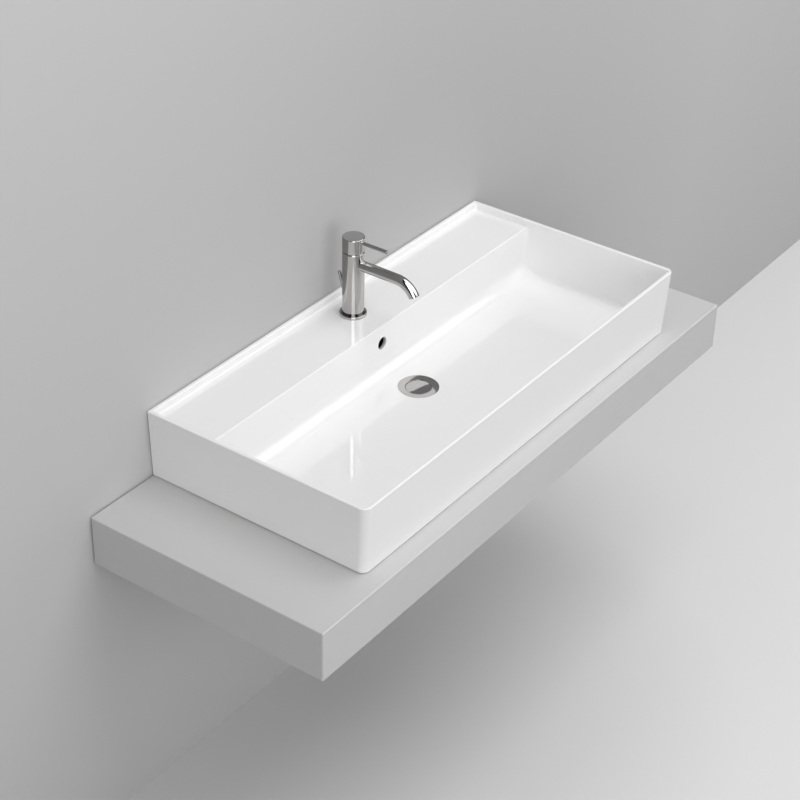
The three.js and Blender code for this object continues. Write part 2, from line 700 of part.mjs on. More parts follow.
function basin() {
  const ductInside = ductForm(0);
  const boss = uprightRod(0, WASTE_Y, BOSS_Z, FLOOR_Z - CHINA + 1, 2 * DRAIN_BOSS_RADIUS, MEDIUM);
  const room = block(-BASIN_WIDTH, BASIN_WIDTH, -BASIN_REACH, 0, BOSS_Z, FLOOR_Z + BASIN_HEIGHT);
  const ductOutside = ductForm(DUCT_WALL).intersect(room);
  const underside = cut(undersideHollow(), ductOutside, boss);
  const tapHole = uprightRod(0, TAP_Y, LEDGE_Z - 2 * CHINA, LEDGE_Z + 1, TAP_HOLE_DIAMETER, FINE);
  const overflowZ = BASIN_Z + OVERFLOW_HEIGHT;
  const overflow = rod(new THREE.Vector3(0, -LEDGE_FRONT - 10, overflowZ),
    new THREE.Vector3(0, -LEDGE_FRONT + CHINA, overflowZ), OVERFLOW_DIAMETER, MEDIUM);
  const seat = revolve([
    [0, BASIN_Z - 1 - DRAIN_Z],
    [WASTE_HOLE_DIAMETER / 2, BASIN_Z - 1 - DRAIN_Z],
    [WASTE_HOLE_DIAMETER / 2, -SEAT_DEPTH - FLANGE_SHEET - FLANGE_GASKET],
    [SEAT_DIAMETER / 2 + FLANGE_SHEET + CLEARANCE, -SEAT_DEPTH - FLANGE_SHEET - FLANGE_GASKET],
    [SEAT_DIAMETER / 2 + FLANGE_SHEET + CLEARANCE, -SEAT_DEPTH],
    [WASTE_FLANGE_DIAMETER / 2 + CLEARANCE, -CLEARANCE],
    [WASTE_FLANGE_DIAMETER / 2 + CLEARANCE, FLOOR_FALL + 1],
    [0, FLOOR_FALL + 1],
  ], 0, WASTE_Y, DRAIN_Z, FINE);
  return cut(basinOutside(), spaceAboveLedge(), bowlSpace(), underside, ductInside, tapHole,
    overflow, seat);
}

// The bead of sealant under the basin's edge.
function sealantBead() {
  const outer = outerOutline(0, BEAD_INSET);
  const inner = outerOutline(0, BEAD_INSET + BEAD_WIDTH);
  return cut(prism(outer, SHELF_TOP, BASIN_Z), prism(inner, SHELF_TOP - 1, BASIN_Z + 1));
}

add('basin', 'china', basin());
add('sealant_bead', 'silicone', sealantBead());

// ---------------------------------------------------------------- tap

const forward = new THREE.Vector3(0, -1, 0);
const liftAxis = new THREE.Vector3(0, Math.sin(radians(LIFT_LEAN)), Math.cos(radians(LIFT_LEAN)));
const liftStart = new THREE.Vector3(0, TAP_Y + LIFT_SETBACK, LEDGE_Z);

// A point on the lift rod's line, at a distance above the ledge along it.
function onLift(distance) {
  return liftStart.clone().addScaledVector(liftAxis, distance);
}

function tapPoint(x, y, height) {
  return new THREE.Vector3(x, TAP_Y + y, LEDGE_Z + height);
}

// A revolved piece round the tap's axis, with heights above the ledge.
function tapTurned(profile, segments = FINE) {
  return revolve(profile, 0, TAP_Y, LEDGE_Z, segments);
}

function tapBody() {
  const radius = TAP_DIAMETER / 2;
  const chamber = CHAMBER_DIAMETER / 2;
  const nutBore = NUT_BORE_DIAMETER / 2;
  const casting = tapTurned([
    [0, 0], [radius, 0], [radius, TAP_BODY_HEIGHT - TAP_CHAMFER],
    [radius - TAP_CHAMFER, TAP_BODY_HEIGHT], [nutBore, TAP_BODY_HEIGHT], [nutBore, NUT_SEAT_HEIGHT],
    [chamber, NUT_SEAT_HEIGHT], [chamber, CHAMBER_FLOOR], [0, CHAMBER_FLOOR],
  ]);
  const inlets = [-1, 1].map((side) => rod(tapPoint((side * INLET_SPREAD) / 2, -INLET_SETBACK, -1),
    tapPoint((side * INLET_SPREAD) / 2, -INLET_SETBACK, CHAMBER_FLOOR + 1), INLET_DIAMETER, COARSE));
  const studHole = rod(tapPoint(0, -STUD_SETBACK, -1), tapPoint(0, -STUD_SETBACK, STUD_DEPTH_IN_BODY + 2),
    STUD_DIAMETER + 2 * CLEARANCE, COARSE);
  const rodBore = rod(onLift(-5), onLift(KNOB_TOP), LIFT_ROD_DIAMETER + 2 * CLEARANCE, COARSE);
  const knobBore = rod(onLift(KNOB_BOTTOM - LIFT_TRAVEL - 2), onLift(KNOB_TOP),
    KNOB_DIAMETER + 2 * CLEARANCE, COARSE);
  const spoutBore = rod(tapPoint(0, -chamber + 2, SPOUT_HEIGHT), tapPoint(0, -radius - 1, SPOUT_HEIGHT),
    SPIGOT_DIAMETER + 2 * CLEARANCE, MEDIUM);
  return cut(casting, ...inlets, studHole, rodBore, knobBore, spoutBore);
}

function baseRing() {
  const bore = TAP_DIAMETER / 2 + CLEARANCE;
  const outer = BASE_RING_DIAMETER / 2;
  const groove = BASE_SEAL_THICKNESS + CLEARANCE;
  return tapTurned([
    [bore, 0], [bore + 0.8, 0], [bore + 0.8, groove], [outer - 0.9, groove], [outer - 0.9, 0],
    [outer, 0.3], [outer, BASE_RING_EDGE], [outer - 0.8, BASE_RING_EDGE + 0.5],
    [bore + 0.4, BASE_RING_HEIGHT], [bore, BASE_RING_HEIGHT],
  ]);
}

function baseSeal() {
  const bore = TAP_DIAMETER / 2 + CLEARANCE + 0.8 + 0.1;
  const outer = BASE_RING_DIAMETER / 2 - 0.9 - 0.1;
  return tapTurned([[bore, 0], [outer, 0], [outer, BASE_SEAL_THICKNESS], [bore, BASE_SEAL_THICKNESS]]);
}

// The spout's centreline: straight out of the body, then round a bend down to the outlet.
class SpoutPath extends THREE.Curve {
  constructor(start) {
    super();
    this.start = start;
    this.straight = SPOUT_STRAIGHT - start;
    this.arc = SPOUT_BEND_RADIUS * radians(SPOUT_BEND_ANGLE);
  }

  getPoint(t, target = new THREE.Vector3()) {
    const run = t * (this.straight + this.arc);
    if (run <= this.straight) return target.set(0, -this.start - run, SPOUT_HEIGHT);
    const angle = (run - this.straight) / SPOUT_BEND_RADIUS;
    return target.set(0, -SPOUT_STRAIGHT - SPOUT_BEND_RADIUS * Math.sin(angle),
      SPOUT_HEIGHT - SPOUT_BEND_RADIUS * (1 - Math.cos(angle)));
  }
}

function circle(diameter, segments) {
  const points = Array.from({ length: segments }, (_, i) => {
    const angle = (2 * Math.PI * i) / segments;
    return new THREE.Vector2((diameter / 2) * Math.cos(angle), (diameter / 2) * Math.sin(angle));
  });
  return new THREE.Shape(points);
}

function sweep(path, diameter, steps, segments) {
  const geometry = new THREE.ExtrudeGeometry(circle(diameter, segments),
    { steps, extrudePath: path, bevelEnabled: false });
  return placed(geometry, moved(0, TAP_Y, LEDGE_Z));
}

const outletAngle = radians(SPOUT_BEND_ANGLE);
const outletDirection = new THREE.Vector3(0, -Math.cos(outletAngle), -Math.sin(outletAngle));
const outlet = tapPoint(0, -SPOUT_STRAIGHT - SPOUT_BEND_RADIUS * Math.sin(outletAngle),
  SPOUT_HEIGHT - SPOUT_BEND_RADIUS * (1 - Math.cos(outletAngle)));

// A revolved piece inside the outlet, with distances back up the spout from its end.
function atOutlet(profile, segments = MEDIUM) {
  return revolve(profile, outlet.x, outlet.y, outlet.z, segments, outletDirection.clone().negate());
}

function spout() {
  const radius = TAP_DIAMETER / 2;
  const outside = cut(sweep(new SpoutPath(radius - 3), SPOUT_DIAMETER, SPOUT_STEPS, MEDIUM),
    uprightRod(0, TAP_Y, LEDGE_Z, LEDGE_Z + TAP_BODY_HEIGHT, TAP_DIAMETER + 2 * CLEARANCE, FINE));
  const spigot = rod(tapPoint(0, -radius + SPIGOT_DEPTH, SPOUT_HEIGHT),
    tapPoint(0, -radius - 4, SPOUT_HEIGHT), SPIGOT_DIAMETER, MEDIUM);
  const bore = sweep(new SpoutPath(radius - SPIGOT_DEPTH - 2), SPOUT_BORE, SPOUT_BORE_STEPS, COARSE);
  const seat = AERATOR_DIAMETER / 2 + CLEARANCE;
  const depth = AERATOR_LENGTH + 1;
  const mouth = atOutlet([[0, -2], [seat, -2], [seat, depth], [0, depth]]);
  return cut(join(outside, spigot), bore, mouth);
}

function aeratorHousing() {
  const outer = AERATOR_DIAMETER / 2;
  const inner = outer - AERATOR_WALL;
  const lip = inner - 0.8;
  return atOutlet([
    [lip, 0.5], [outer, 0.5], [outer, 0.5 + AERATOR_LENGTH], [inner, 0.5 + AERATOR_LENGTH],
    [inner, 1.6], [lip, 1.6],
  ]);
}

function aeratorInsert() {
  const radius = AERATOR_DIAMETER / 2 - AERATOR_WALL - CLEARANCE;
  const disc = atOutlet([[0, 1.9], [radius, 1.9], [radius, AERATOR_LENGTH - 0.4], [0, AERATOR_LENGTH - 0.4]]);
  const side = new THREE.Vector3(1, 0, 0);
  const rise = new THREE.Vector3().crossVectors(outletDirection, side);
  const holes = Array.from({ length: AERATOR_HOLES }, (_, i) => {
    const angle = (2 * Math.PI * i) / AERATOR_HOLES;
    const centre = outlet.clone().addScaledVector(side, radius * 0.6 * Math.cos(angle))
      .addScaledVector(rise, radius * 0.6 * Math.sin(angle));
    return rod(centre.clone().addScaledVector(outletDirection, 1),
      centre.clone().addScaledVector(outletDirection, -AERATOR_LENGTH - 1), AERATOR_HOLE_DIAMETER, TINY);
  });
  return cut(disc, ...holes);
}

const cartridgeRadius = CHAMBER_DIAMETER / 2 - CLEARANCE;
const cartridgeFlangeRadius = NUT_BORE_DIAMETER / 2 - CLEARANCE;
const flangeBottom = NUT_SEAT_HEIGHT + CLEARANCE;
const flangeTop = flangeBottom + CARTRIDGE_FLANGE;

function cartridge() {
  const neck = CARTRIDGE_NECK_DIAMETER / 2;
  const well = CARTRIDGE_WELL_DIAMETER / 2;
  return tapTurned([
    [0, CHAMBER_FLOOR + CLEARANCE], [cartridgeRadius, CHAMBER_FLOOR + CLEARANCE],
    [cartridgeRadius, flangeBottom], [cartridgeFlangeRadius, flangeBottom],
    [cartridgeFlangeRadius, flangeTop], [neck, flangeTop], [neck, CARTRIDGE_NECK_TOP],
    [well, CARTRIDGE_NECK_TOP], [well, CARTRIDGE_WELL_FLOOR], [0, CARTRIDGE_WELL_FLOOR],
  ], MEDIUM);
}

function cartridgeNut() {
  const bore = CARTRIDGE_NECK_DIAMETER / 2 + CLEARANCE;
  const bottom = flangeTop + CLEARANCE;
  const top = TAP_BODY_HEIGHT - CLEARANCE;
  const ring = tapTurned([[bore, bottom], [cartridgeFlangeRadius, bottom], [cartridgeFlangeRadius, top],
    [bore, top]], MEDIUM);
  const notches = Array.from({ length: NUT_NOTCHES }, (_, i) => {
    const angle = (2 * Math.PI * i) / NUT_NOTCHES;
    const turn = new THREE.Matrix4().makeRotationZ(angle);
    const notch = new THREE.BoxGeometry(10, NUT_NOTCH, 4);
    notch.translate(cartridgeFlangeRadius, 0, 0).applyMatrix4(turn);
    return placed(notch, moved(0, TAP_Y, LEDGE_Z + top));
  });
  return cut(ring, ...notches);
}

function collar() {
  const outer = COLLAR_DIAMETER / 2;
  const inner = COLLAR_BORE / 2;
  const bottom = TAP_BODY_HEIGHT;
  const top = bottom + COLLAR_HEIGHT;
  return tapTurned([[inner, bottom], [outer, bottom], [outer, top - 0.5], [outer - 0.5, top],
    [inner, top]]);
}

// The turning middle of the cartridge: it carries the stem on a cross pin.
function cartridgeTurret() {
  const radius = CARTRIDGE_WELL_DIAMETER / 2 - CLEARANCE;
  const drum = tapTurned([[0, CARTRIDGE_WELL_FLOOR + CLEARANCE], [radius, CARTRIDGE_WELL_FLOOR + CLEARANCE],
    [radius, TURRET_TOP], [0, TURRET_TOP]], MEDIUM);
  const halfWidth = STEM_SIDE / 2 + CLEARANCE;
  const halfLength = TURRET_SLOT_LENGTH / 2;
  const slot = block(-halfWidth, halfWidth, TAP_Y - halfLength, TAP_Y + halfLength,
    LEDGE_Z + TURRET_SLOT_FLOOR, LEDGE_Z + TURRET_TOP + 1);
  const pinHole = rod(tapPoint(-20, 0, TILT_HEIGHT), tapPoint(20, 0, TILT_HEIGHT),
    STEM_PIN_DIAMETER + 2 * CLEARANCE, COARSE);
  return cut(drum, slot, pinHole);
}

const stemTop = LEVER_HEIGHT + 3.4;

function cartridgeStem() {
  const half = STEM_SIDE / 2;
  const bar = block(-half, half, TAP_Y - half, TAP_Y + half, LEDGE_Z + STEM_BOTTOM, LEDGE_Z + stemTop);
  const pinHole = rod(tapPoint(-20, 0, TILT_HEIGHT), tapPoint(20, 0, TILT_HEIGHT),
    STEM_PIN_DIAMETER + 2 * CLEARANCE, COARSE);
  return cut(bar, pinHole);
}

function stemPin() {
  const half = CARTRIDGE_WELL_DIAMETER / 2 - 1.5;
  return rod(tapPoint(-half, 0, TILT_HEIGHT), tapPoint(half, 0, TILT_HEIGHT), STEM_PIN_DIAMETER, COARSE);
}

// The hollow cap: a skirt below, a solid crown with the stem's socket, and a rear rim cut away
// on a slant so that it clears the body when the lever is lifted.
function leverCap() {
  const radius = CAP_DIAMETER / 2;
  const inside = radius - CAP_SKIRT;
  const blank = tapTurned([
    [0, CAP_ROOF_UNDERSIDE], [inside, CAP_ROOF_UNDERSIDE], [inside, CAP_BOTTOM], [radius, CAP_BOTTOM],
    [radius, TAP_HEIGHT - TAP_CHAMFER], [radius - TAP_CHAMFER, TAP_HEIGHT], [0, TAP_HEIGHT],
  ]);
  const half = STEM_SIDE / 2 + CLEARANCE;
  const socket = block(-half, half, TAP_Y - half, TAP_Y + half, LEDGE_Z + CAP_ROOF_UNDERSIDE - 1,
    LEDGE_Z + stemTop + CLEARANCE);
  const leverHole = rod(tapPoint(0, -LEVER_ROOT + CLEARANCE, LEVER_HEIGHT),
    tapPoint(0, -radius - 1, LEVER_HEIGHT), LEVER_DIAMETER + 2 * CLEARANCE, COARSE);
  const grubHole = rod(tapPoint(0, half - 1, GRUB_HEIGHT), tapPoint(0, radius + 1, GRUB_HEIGHT),
    GRUB_DIAMETER + 2 * CLEARANCE, COARSE);
  const tilt = radians(TILT_ANGLE);
  const clear = TAP_BODY_HEIGHT + CLEARANCE - TILT_HEIGHT;
  const wedge = new THREE.BoxGeometry(3 * radius, 3 * radius, 20);
  wedge.translate(0, 0, clear - 10).rotateX(tilt);
  const relief = placed(wedge, moved(0, TAP_Y, LEDGE_Z + TILT_HEIGHT));
  return cut(blank, socket, leverHole, grubHole, relief);
}

function leverRod() {
  return revolve([
    [0, LEVER_ROOT], [LEVER_DIAMETER / 2, LEVER_ROOT], [LEVER_DIAMETER / 2, LEVER_REACH - 0.6],
    [LEVER_DIAMETER / 2 - 0.6, LEVER_REACH], [0, LEVER_REACH],
  ], 0, TAP_Y, LEDGE_Z + LEVER_HEIGHT, COARSE, forward);
}

function leverGrub() {
  const start = STEM_SIDE / 2 + CLEARANCE;
  const screw = rod(tapPoint(0, start, GRUB_HEIGHT), tapPoint(0, start + GRUB_LENGTH, GRUB_HEIGHT),
    GRUB_DIAMETER, COARSE);
  const key = new THREE.CylinderGeometry(1.3, 1.3, 4, 6);
  return cut(screw, placed(key, moved(0, TAP_Y + start + GRUB_LENGTH, LEDGE_Z + GRUB_HEIGHT)));
}

function hexagon(acrossFlats, x, y) {
  const radius = acrossFlats / Math.sqrt(3);
  return Array.from({ length: 6 }, (_, i) => {
    const angle = (Math.PI * i) / 3;
    return [x + radius * Math.cos(angle), y + radius * Math.sin(angle)];
  });
}

const ledgeUnder = LEDGE_Z - CHINA;
const studTop = STUD_DEPTH_IN_BODY;

function tapStud() {
  return rod(tapPoint(0, -STUD_SETBACK, studTop - STUD_LENGTH), tapPoint(0, -STUD_SETBACK, studTop),
    STUD_DIAMETER, COARSE);
}

// A horseshoe that spans the hole from below and leaves room for the hoses and the lift rod.
function horseshoe(top, thickness) {
  const disc = uprightRod(0, TAP_Y, top - thickness, top, CLAMP_DIAMETER, MEDIUM);
  const slot = block(-CLAMP_SLOT_WIDTH / 2, CLAMP_SLOT_WIDTH / 2, TAP_Y - CLAMP_SLOT_START,
    TAP_Y + CLAMP_DIAMETER, top - thickness - 1, top + 1);
  const hole = uprightRod(0, TAP_Y - STUD_SETBACK, top - thickness - 1, top + 1,
    STUD_DIAMETER + 2 * CLEARANCE, COARSE);
  return cut(disc, slot, hole);
}

function studNut() {
  const top = ledgeUnder - CLAMP_GASKET_THICKNESS - CLAMP_PLATE_THICKNESS;
  const hex = prism(hexagon(STUD_NUT_ACROSS_FLATS, 0, TAP_Y - STUD_SETBACK), top - STUD_NUT_HEIGHT, top);
  return cut(hex, uprightRod(0, TAP_Y - STUD_SETBACK, top - STUD_NUT_HEIGHT - 1, top + 1,
    STUD_DIAMETER + 2 * CLEARANCE, COARSE));
}

add('tap_base_ring', 'chrome', baseRing());
add('tap_base_seal', 'rubber', baseSeal());
add('tap_body', 'chrome', tapBody());
add('spout', 'chrome', spout());
add('aerator_housing', 'chrome', aeratorHousing());
add('aerator_insert', 'nylon', aeratorInsert());
add('cartridge', 'nylon', cartridge());
add('cartridge_nut', 'brass', cartridgeNut());
add('collar', 'chrome', collar());
add('cartridge_turret', 'nylon', cartridgeTurret());
add('cartridge_stem', 'brass', cartridgeStem());
add('stem_pin', 'steel', stemPin());
add('lever_cap', 'chrome', leverCap());
add('lever_rod', 'chrome', leverRod());
add('lever_grub_screw', 'steel', leverGrub());
add('tap_stud', 'brass', tapStud());
add('clamp_gasket', 'rubber', horseshoe(ledgeUnder, CLAMP_GASKET_THICKNESS));
add('clamp_plate', 'steel', horseshoe(ledgeUnder - CLAMP_GASKET_THICKNESS, CLAMP_PLATE_THICKNESS));
add('stud_nut', 'brass', studNut());

// ---------------------------------------------------------------- lift rod and strap

function liftRod() {
  return rod(onLift(-LIFT_ROD_BOTTOM), onLift(KNOB_BOTTOM + KNOB_SOCKET_DEPTH), LIFT_ROD_DIAMETER, COARSE);
}

// A revolved piece on the lift rod's line, with distances along it from the ledge.
function onLiftTurned(profile, segments = COARSE) {
  return revolve(profile, liftStart.x, liftStart.y, liftStart.z, segments, liftAxis);
}

function liftKnob() {
  const radius = KNOB_DIAMETER / 2;
  const bore = LIFT_ROD_DIAMETER / 2 + CLEARANCE;
  const socket = KNOB_BOTTOM + KNOB_SOCKET_DEPTH + CLEARANCE;
  return onLiftTurned([
    [bore, KNOB_BOTTOM], [radius - 0.4, KNOB_BOTTOM], [radius, KNOB_BOTTOM + 0.4], [radius, KNOB_TOP - 1.4],
    [radius - 0.6, KNOB_TOP - 0.4], [radius - 1.6, KNOB_TOP], [0, KNOB_TOP], [0, socket], [bore, socket],
  ].reverse(), COARSE);
}

// A plane across the lift rod: x across the set, and n square to the rod, towards the wall.
const liftTurn = new THREE.Matrix4().makeRotationX(-radians(LIFT_LEAN));

// A box in the lift rod's own directions.
function liftBlock(halfWidth, halfDepth, from, to) {
  const geometry = new THREE.BoxGeometry(2 * halfWidth, 2 * halfDepth, to - from);
  geometry.translate(0, 0, (from + to) / 2).applyMatrix4(liftTurn);
  return placed(geometry, moved(liftStart.x, liftStart.y, liftStart.z));
}

// Where the ball rod's line meets the lift rod's line, as a distance below the ledge.
function strapHoleDistance() {
  const slope = Math.tan(radians(PIVOT_HALF_TRAVEL));
  const rise = LEDGE_Z - PIVOT_Z - slope * (liftStart.y - PIVOT_Y);
  return rise / (liftAxis.z - slope * liftAxis.y);
}

const strapHole = strapHoleDistance();
const strapBlockBottom = LIFT_ROD_BOTTOM + (STRAP_BLOCK_LENGTH - STRAP_SOCKET_DEPTH);
const strapBlockTop = strapBlockBottom - STRAP_BLOCK_LENGTH;

// The strap that hangs on the rod: a block clamped on its end and a flat strip with a row of holes.
function liftStrap() {
  const head = liftBlock(STRAP_BLOCK_WIDTH / 2, STRAP_BLOCK_DEPTH / 2, -strapBlockBottom, -strapBlockTop);
  const strip = liftBlock(STRAP_BLOCK_WIDTH / 2, STRAP_THICKNESS / 2, -strapBlockBottom - STRAP_LENGTH,
    -strapBlockBottom + 1);
  const socket = rod(onLift(-LIFT_ROD_BOTTOM - CLEARANCE), onLift(-strapBlockTop + 1),
    LIFT_ROD_DIAMETER + 2 * CLEARANCE, COARSE);
  const across = new THREE.Vector3(0, Math.cos(radians(LIFT_LEAN)), -Math.sin(radians(LIFT_LEAN)));
  const holes = [-1, 0, 1].map((step) => {
    const centre = onLift(-strapHole - step * STRAP_HOLE_PITCH);
    return rod(centre.clone().addScaledVector(across, -4), centre.clone().addScaledVector(across, 4),
      STRAP_HOLE_DIAMETER, COARSE);
  });
  const middle = onLift(-(strapBlockTop + STRAP_SOCKET_DEPTH / 2));
  const tapping = rod(middle.clone(), middle.clone().add(new THREE.Vector3(STRAP_BLOCK_WIDTH, 0, 0)),
    STRAP_SCREW_DIAMETER + 2 * CLEARANCE, COARSE);
  return cut(join(head, strip), socket, ...holes, tapping);
}

function strapScrew() {
  const middle = onLift(-(strapBlockTop + STRAP_SOCKET_DEPTH / 2));
  const tip = LIFT_ROD_DIAMETER / 2 + CLEARANCE;
  const seat = STRAP_BLOCK_WIDTH / 2 + CLEARANCE;
  const shank = STRAP_SCREW_DIAMETER / 2;
  const head = STRAP_SCREW_HEAD / 2;
  return revolve([[0, tip], [shank, tip], [shank, seat], [head, seat], [head, seat + 5], [0, seat + 5]],
    middle.x, middle.y, middle.z, COARSE, new THREE.Vector3(1, 0, 0));
}

add('lift_rod', 'chrome', liftRod());
add('lift_knob', 'chrome', liftKnob());
add('lift_strap', 'brass', liftStrap());
add('strap_screw', 'brass', strapScrew());

// ---------------------------------------------------------------- pop-up waste

// A revolved piece round the waste's axis, with heights from the lowest point of the bowl floor.
function wasteTurned(profile, segments = FINE) {
  return revolve(profile, 0, WASTE_Y, DRAIN_Z, segments);
}

// The dished flange and its threaded tube, slotted where the overflow comes in.
function wasteFlange() {
  const lip = WASTE_FLANGE_DIAMETER / 2;
  const seat = SEAT_DIAMETER / 2;
  const bore = WASTE_TUBE_BORE / 2;
  const outer = WASTE_TUBE_DIAMETER / 2;
  const turned = wasteTurned([
    [bore, -WASTE_TUBE_LENGTH], [outer, -WASTE_TUBE_LENGTH], [outer, -SEAT_DEPTH - FLANGE_SHEET],
    [seat + FLANGE_SHEET, -SEAT_DEPTH - FLANGE_SHEET], [seat + FLANGE_SHEET, -SEAT_DEPTH + 0.5],
    [lip - 1.2, FLOOR_FALL * 0.5], [lip, FLANGE_LIP], [lip - 0.6, FLANGE_LIP + 0.8],
    [lip - 1.8, FLANGE_LIP + 0.8],
    [seat, -SEAT_DEPTH + 2], [seat, -SEAT_DEPTH], [bore, -SEAT_DEPTH],
  ]);
  const slotTop = BASIN_Z + DUCT_LEG_BOTTOM + DUCT_LEG_HEIGHT - 0.5;
  const slotBottom = BASIN_Z + DUCT_LEG_BOTTOM + 0.5;
  const half = WASTE_SLOT_WIDTH / 2;
  const across = block(-outer - 2, outer + 2, WASTE_Y - half, WASTE_Y + half, slotBottom, slotTop);
  const along = block(-half, half, WASTE_Y - outer - 2, WASTE_Y + outer + 2, slotBottom, slotTop);
  return cut(turned, across, along);
}

function flangeGasket() {
  const outer = SEAT_DIAMETER / 2 + FLANGE_SHEET - CLEARANCE;
  const inner = WASTE_TUBE_DIAMETER / 2 + 2 * CLEARANCE;
  const top = -SEAT_DEPTH - FLANGE_SHEET;
  return wasteTurned([[inner, top - FLANGE_GASKET], [outer, top - FLANGE_GASKET], [outer, top], [inner, top]],
    MEDIUM);
}

function lowerGasket() {
  const inner = WASTE_TUBE_DIAMETER + 4 * CLEARANCE;
  return tube(0, WASTE_Y, LOCKNUT_TOP, BOSS_Z, LOCKNUT_DIAMETER - 4, inner, MEDIUM);
}

function locknut() {
  const inner = WASTE_TUBE_DIAMETER + 4 * CLEARANCE;
  const bottom = LOCKNUT_TOP - LOCKNUT_HEIGHT;
  const ring = tube(0, WASTE_Y, bottom, LOCKNUT_TOP, LOCKNUT_DIAMETER - 6, inner, MEDIUM);
  const radius = LOCKNUT_DIAMETER / 2;
  const lugs = Array.from({ length: LOCKNUT_LUGS }, (_, i) => {
    const lug = new THREE.BoxGeometry(5, 8, LOCKNUT_HEIGHT);
    lug.translate(radius - 2.5, 0, (bottom + LOCKNUT_TOP) / 2);
    lug.rotateZ((2 * Math.PI * (i + 0.5)) / LOCKNUT_LUGS);
    return placed(lug, moved(0, WASTE_Y, 0));
  });
  return join(ring, ...lugs);
}

const wasteBodyTop = LOCKNUT_TOP - LOCKNUT_HEIGHT - 1;
const backward = new THREE.Vector3(0, 1, 0);

// The lower body: a socket on the tube's end, the pivot port at the back, and a tail for the trap.
function wasteBody() {
  const socketBore = WASTE_TUBE_DIAMETER / 2 + 2 * CLEARANCE;
  const socket = socketBore + WASTE_SOCKET_WALL;
  const outer = WASTE_BODY_DIAMETER / 2;
  const inner = outer - WASTE_BODY_WALL;
  const tail = TAIL_DIAMETER / 2;
  const tailBore = tail - TAIL_WALL;
  const stop = WASTE_TUBE_BOTTOM - CLEARANCE;
  const shoulder = FLOOR_Z - SHOULDER_DROP;
  const bottom = FLOOR_Z - TAIL_DROP;
  const turned = revolve([
    [socketBore, wasteBodyTop], [socket, wasteBodyTop], [socket, stop - 3], [outer, stop - 7],
    [outer, shoulder], [tail, shoulder - 3], [tail, bottom], [tailBore, bottom],
    [tailBore, shoulder - 1], [inner, shoulder + 2], [inner, stop], [socketBore, stop],
  ].reverse(), 0, WASTE_Y, 0, MEDIUM);
  const port = rod(new THREE.Vector3(0, WASTE_Y + inner + 1, PIVOT_Z),
    new THREE.Vector3(0, WASTE_Y + PORT_LENGTH, PIVOT_Z), PORT_DIAMETER, MEDIUM);
  const chamber = rod(new THREE.Vector3(0, PIVOT_Y - PIVOT_BALL_DIAMETER / 2 + 1, PIVOT_Z),
    new THREE.Vector3(0, WASTE_Y + PORT_LENGTH + 1, PIVOT_Z), PORT_BORE, MEDIUM);
  const throat = rod(new THREE.Vector3(0, WASTE_Y + inner - 3, PIVOT_Z),
    new THREE.Vector3(0, PIVOT_Y, PIVOT_Z), PORT_THROAT, COARSE);
  const seat = placed(new THREE.SphereGeometry(PIVOT_BALL_DIAMETER / 2 + CLEARANCE, COARSE, 8),
    moved(0, PIVOT_Y, PIVOT_Z));
  const withPort = join(turned, cut(port, uprightRod(0, WASTE_Y, PIVOT_Z - 20, PIVOT_Z + 20,
    2 * inner + 0.5, FINE)));
  return cut(withPort, chamber, throat, seat);
}

// The seat ring behind the ball, hollowed to its curve.
function pivotSeal() {
  const outer = PORT_BORE / 2 - CLEARANCE;
  const mouth = PIVOT_NUT_MOUTH / 2 - 0.4;
  const end = PORT_LENGTH - PIVOT_REACH;
  const ring = revolve([[mouth, 1.5], [outer, 1.5], [outer, end], [mouth, end]], 0, PIVOT_Y, PIVOT_Z,
    MEDIUM, backward);
  const ball = new THREE.SphereGeometry(PIVOT_BALL_DIAMETER / 2 + CLEARANCE, COARSE, 8);
  return cut(ring, placed(ball, moved(0, PIVOT_Y, PIVOT_Z)));
}

function pivotNut() {
  const bore = PORT_DIAMETER / 2 + CLEARANCE;
  const outer = bore + PIVOT_NUT_WALL;
  const face = PORT_LENGTH - PIVOT_REACH + CLEARANCE;
  const end = face + PIVOT_NUT_WALL;
  const mouth = PIVOT_NUT_MOUTH / 2;
  const turned = revolve([
    [bore, end - PIVOT_NUT_LENGTH], [outer, end - PIVOT_NUT_LENGTH], [outer, end - 1], [outer - 1, end],
    [mouth, end], [mouth, face], [bore, face],
  ], 0, PIVOT_Y, PIVOT_Z, MEDIUM, backward);
  const clear = uprightRod(0, WASTE_Y, PIVOT_Z - 30, PIVOT_Z + 30, WASTE_BODY_DIAMETER + 2 * CLEARANCE, FINE);
  return cut(turned, clear);
}

// The rod with its ball: the outer end goes through the strap, the inner end carries the plug.
function ballRod() {
  const slope = radians(PIVOT_HALF_TRAVEL);
  const along = new THREE.Vector3(0, Math.cos(slope), Math.sin(slope));
  const pivot = new THREE.Vector3(0, PIVOT_Y, PIVOT_Z);
  const straight = rod(pivot.clone().addScaledVector(along, -PIVOT_ROD_INNER),
    pivot.clone().addScaledVector(along, PIVOT_ROD_OUTER), PIVOT_ROD_DIAMETER, COARSE);
  const ball = placed(new THREE.SphereGeometry(PIVOT_BALL_DIAMETER / 2, COARSE, 8),
    moved(0, PIVOT_Y, PIVOT_Z));
  return join(straight, ball);
}

// Height of the centre of the plug's rounded foot, where it just clears the ball rod.
function plugFootHeight() {
  const slope = radians(PIVOT_HALF_TRAVEL);
  const reach = PLUG_STEM_DIAMETER / 2 + PIVOT_ROD_DIAMETER / 2 + CLEARANCE;
  return PIVOT_Z + (reach - PIVOT_REACH * Math.sin(slope)) / Math.cos(slope);
}

const plugUnder = PLUG_TOP - PLUG_THICKNESS;
const footHeight = plugFootHeight() - DRAIN_Z;
const adjusterTop = footHeight + ADJUSTER_LENGTH;
const stemRadius = PLUG_STEM_DIAMETER / 2;

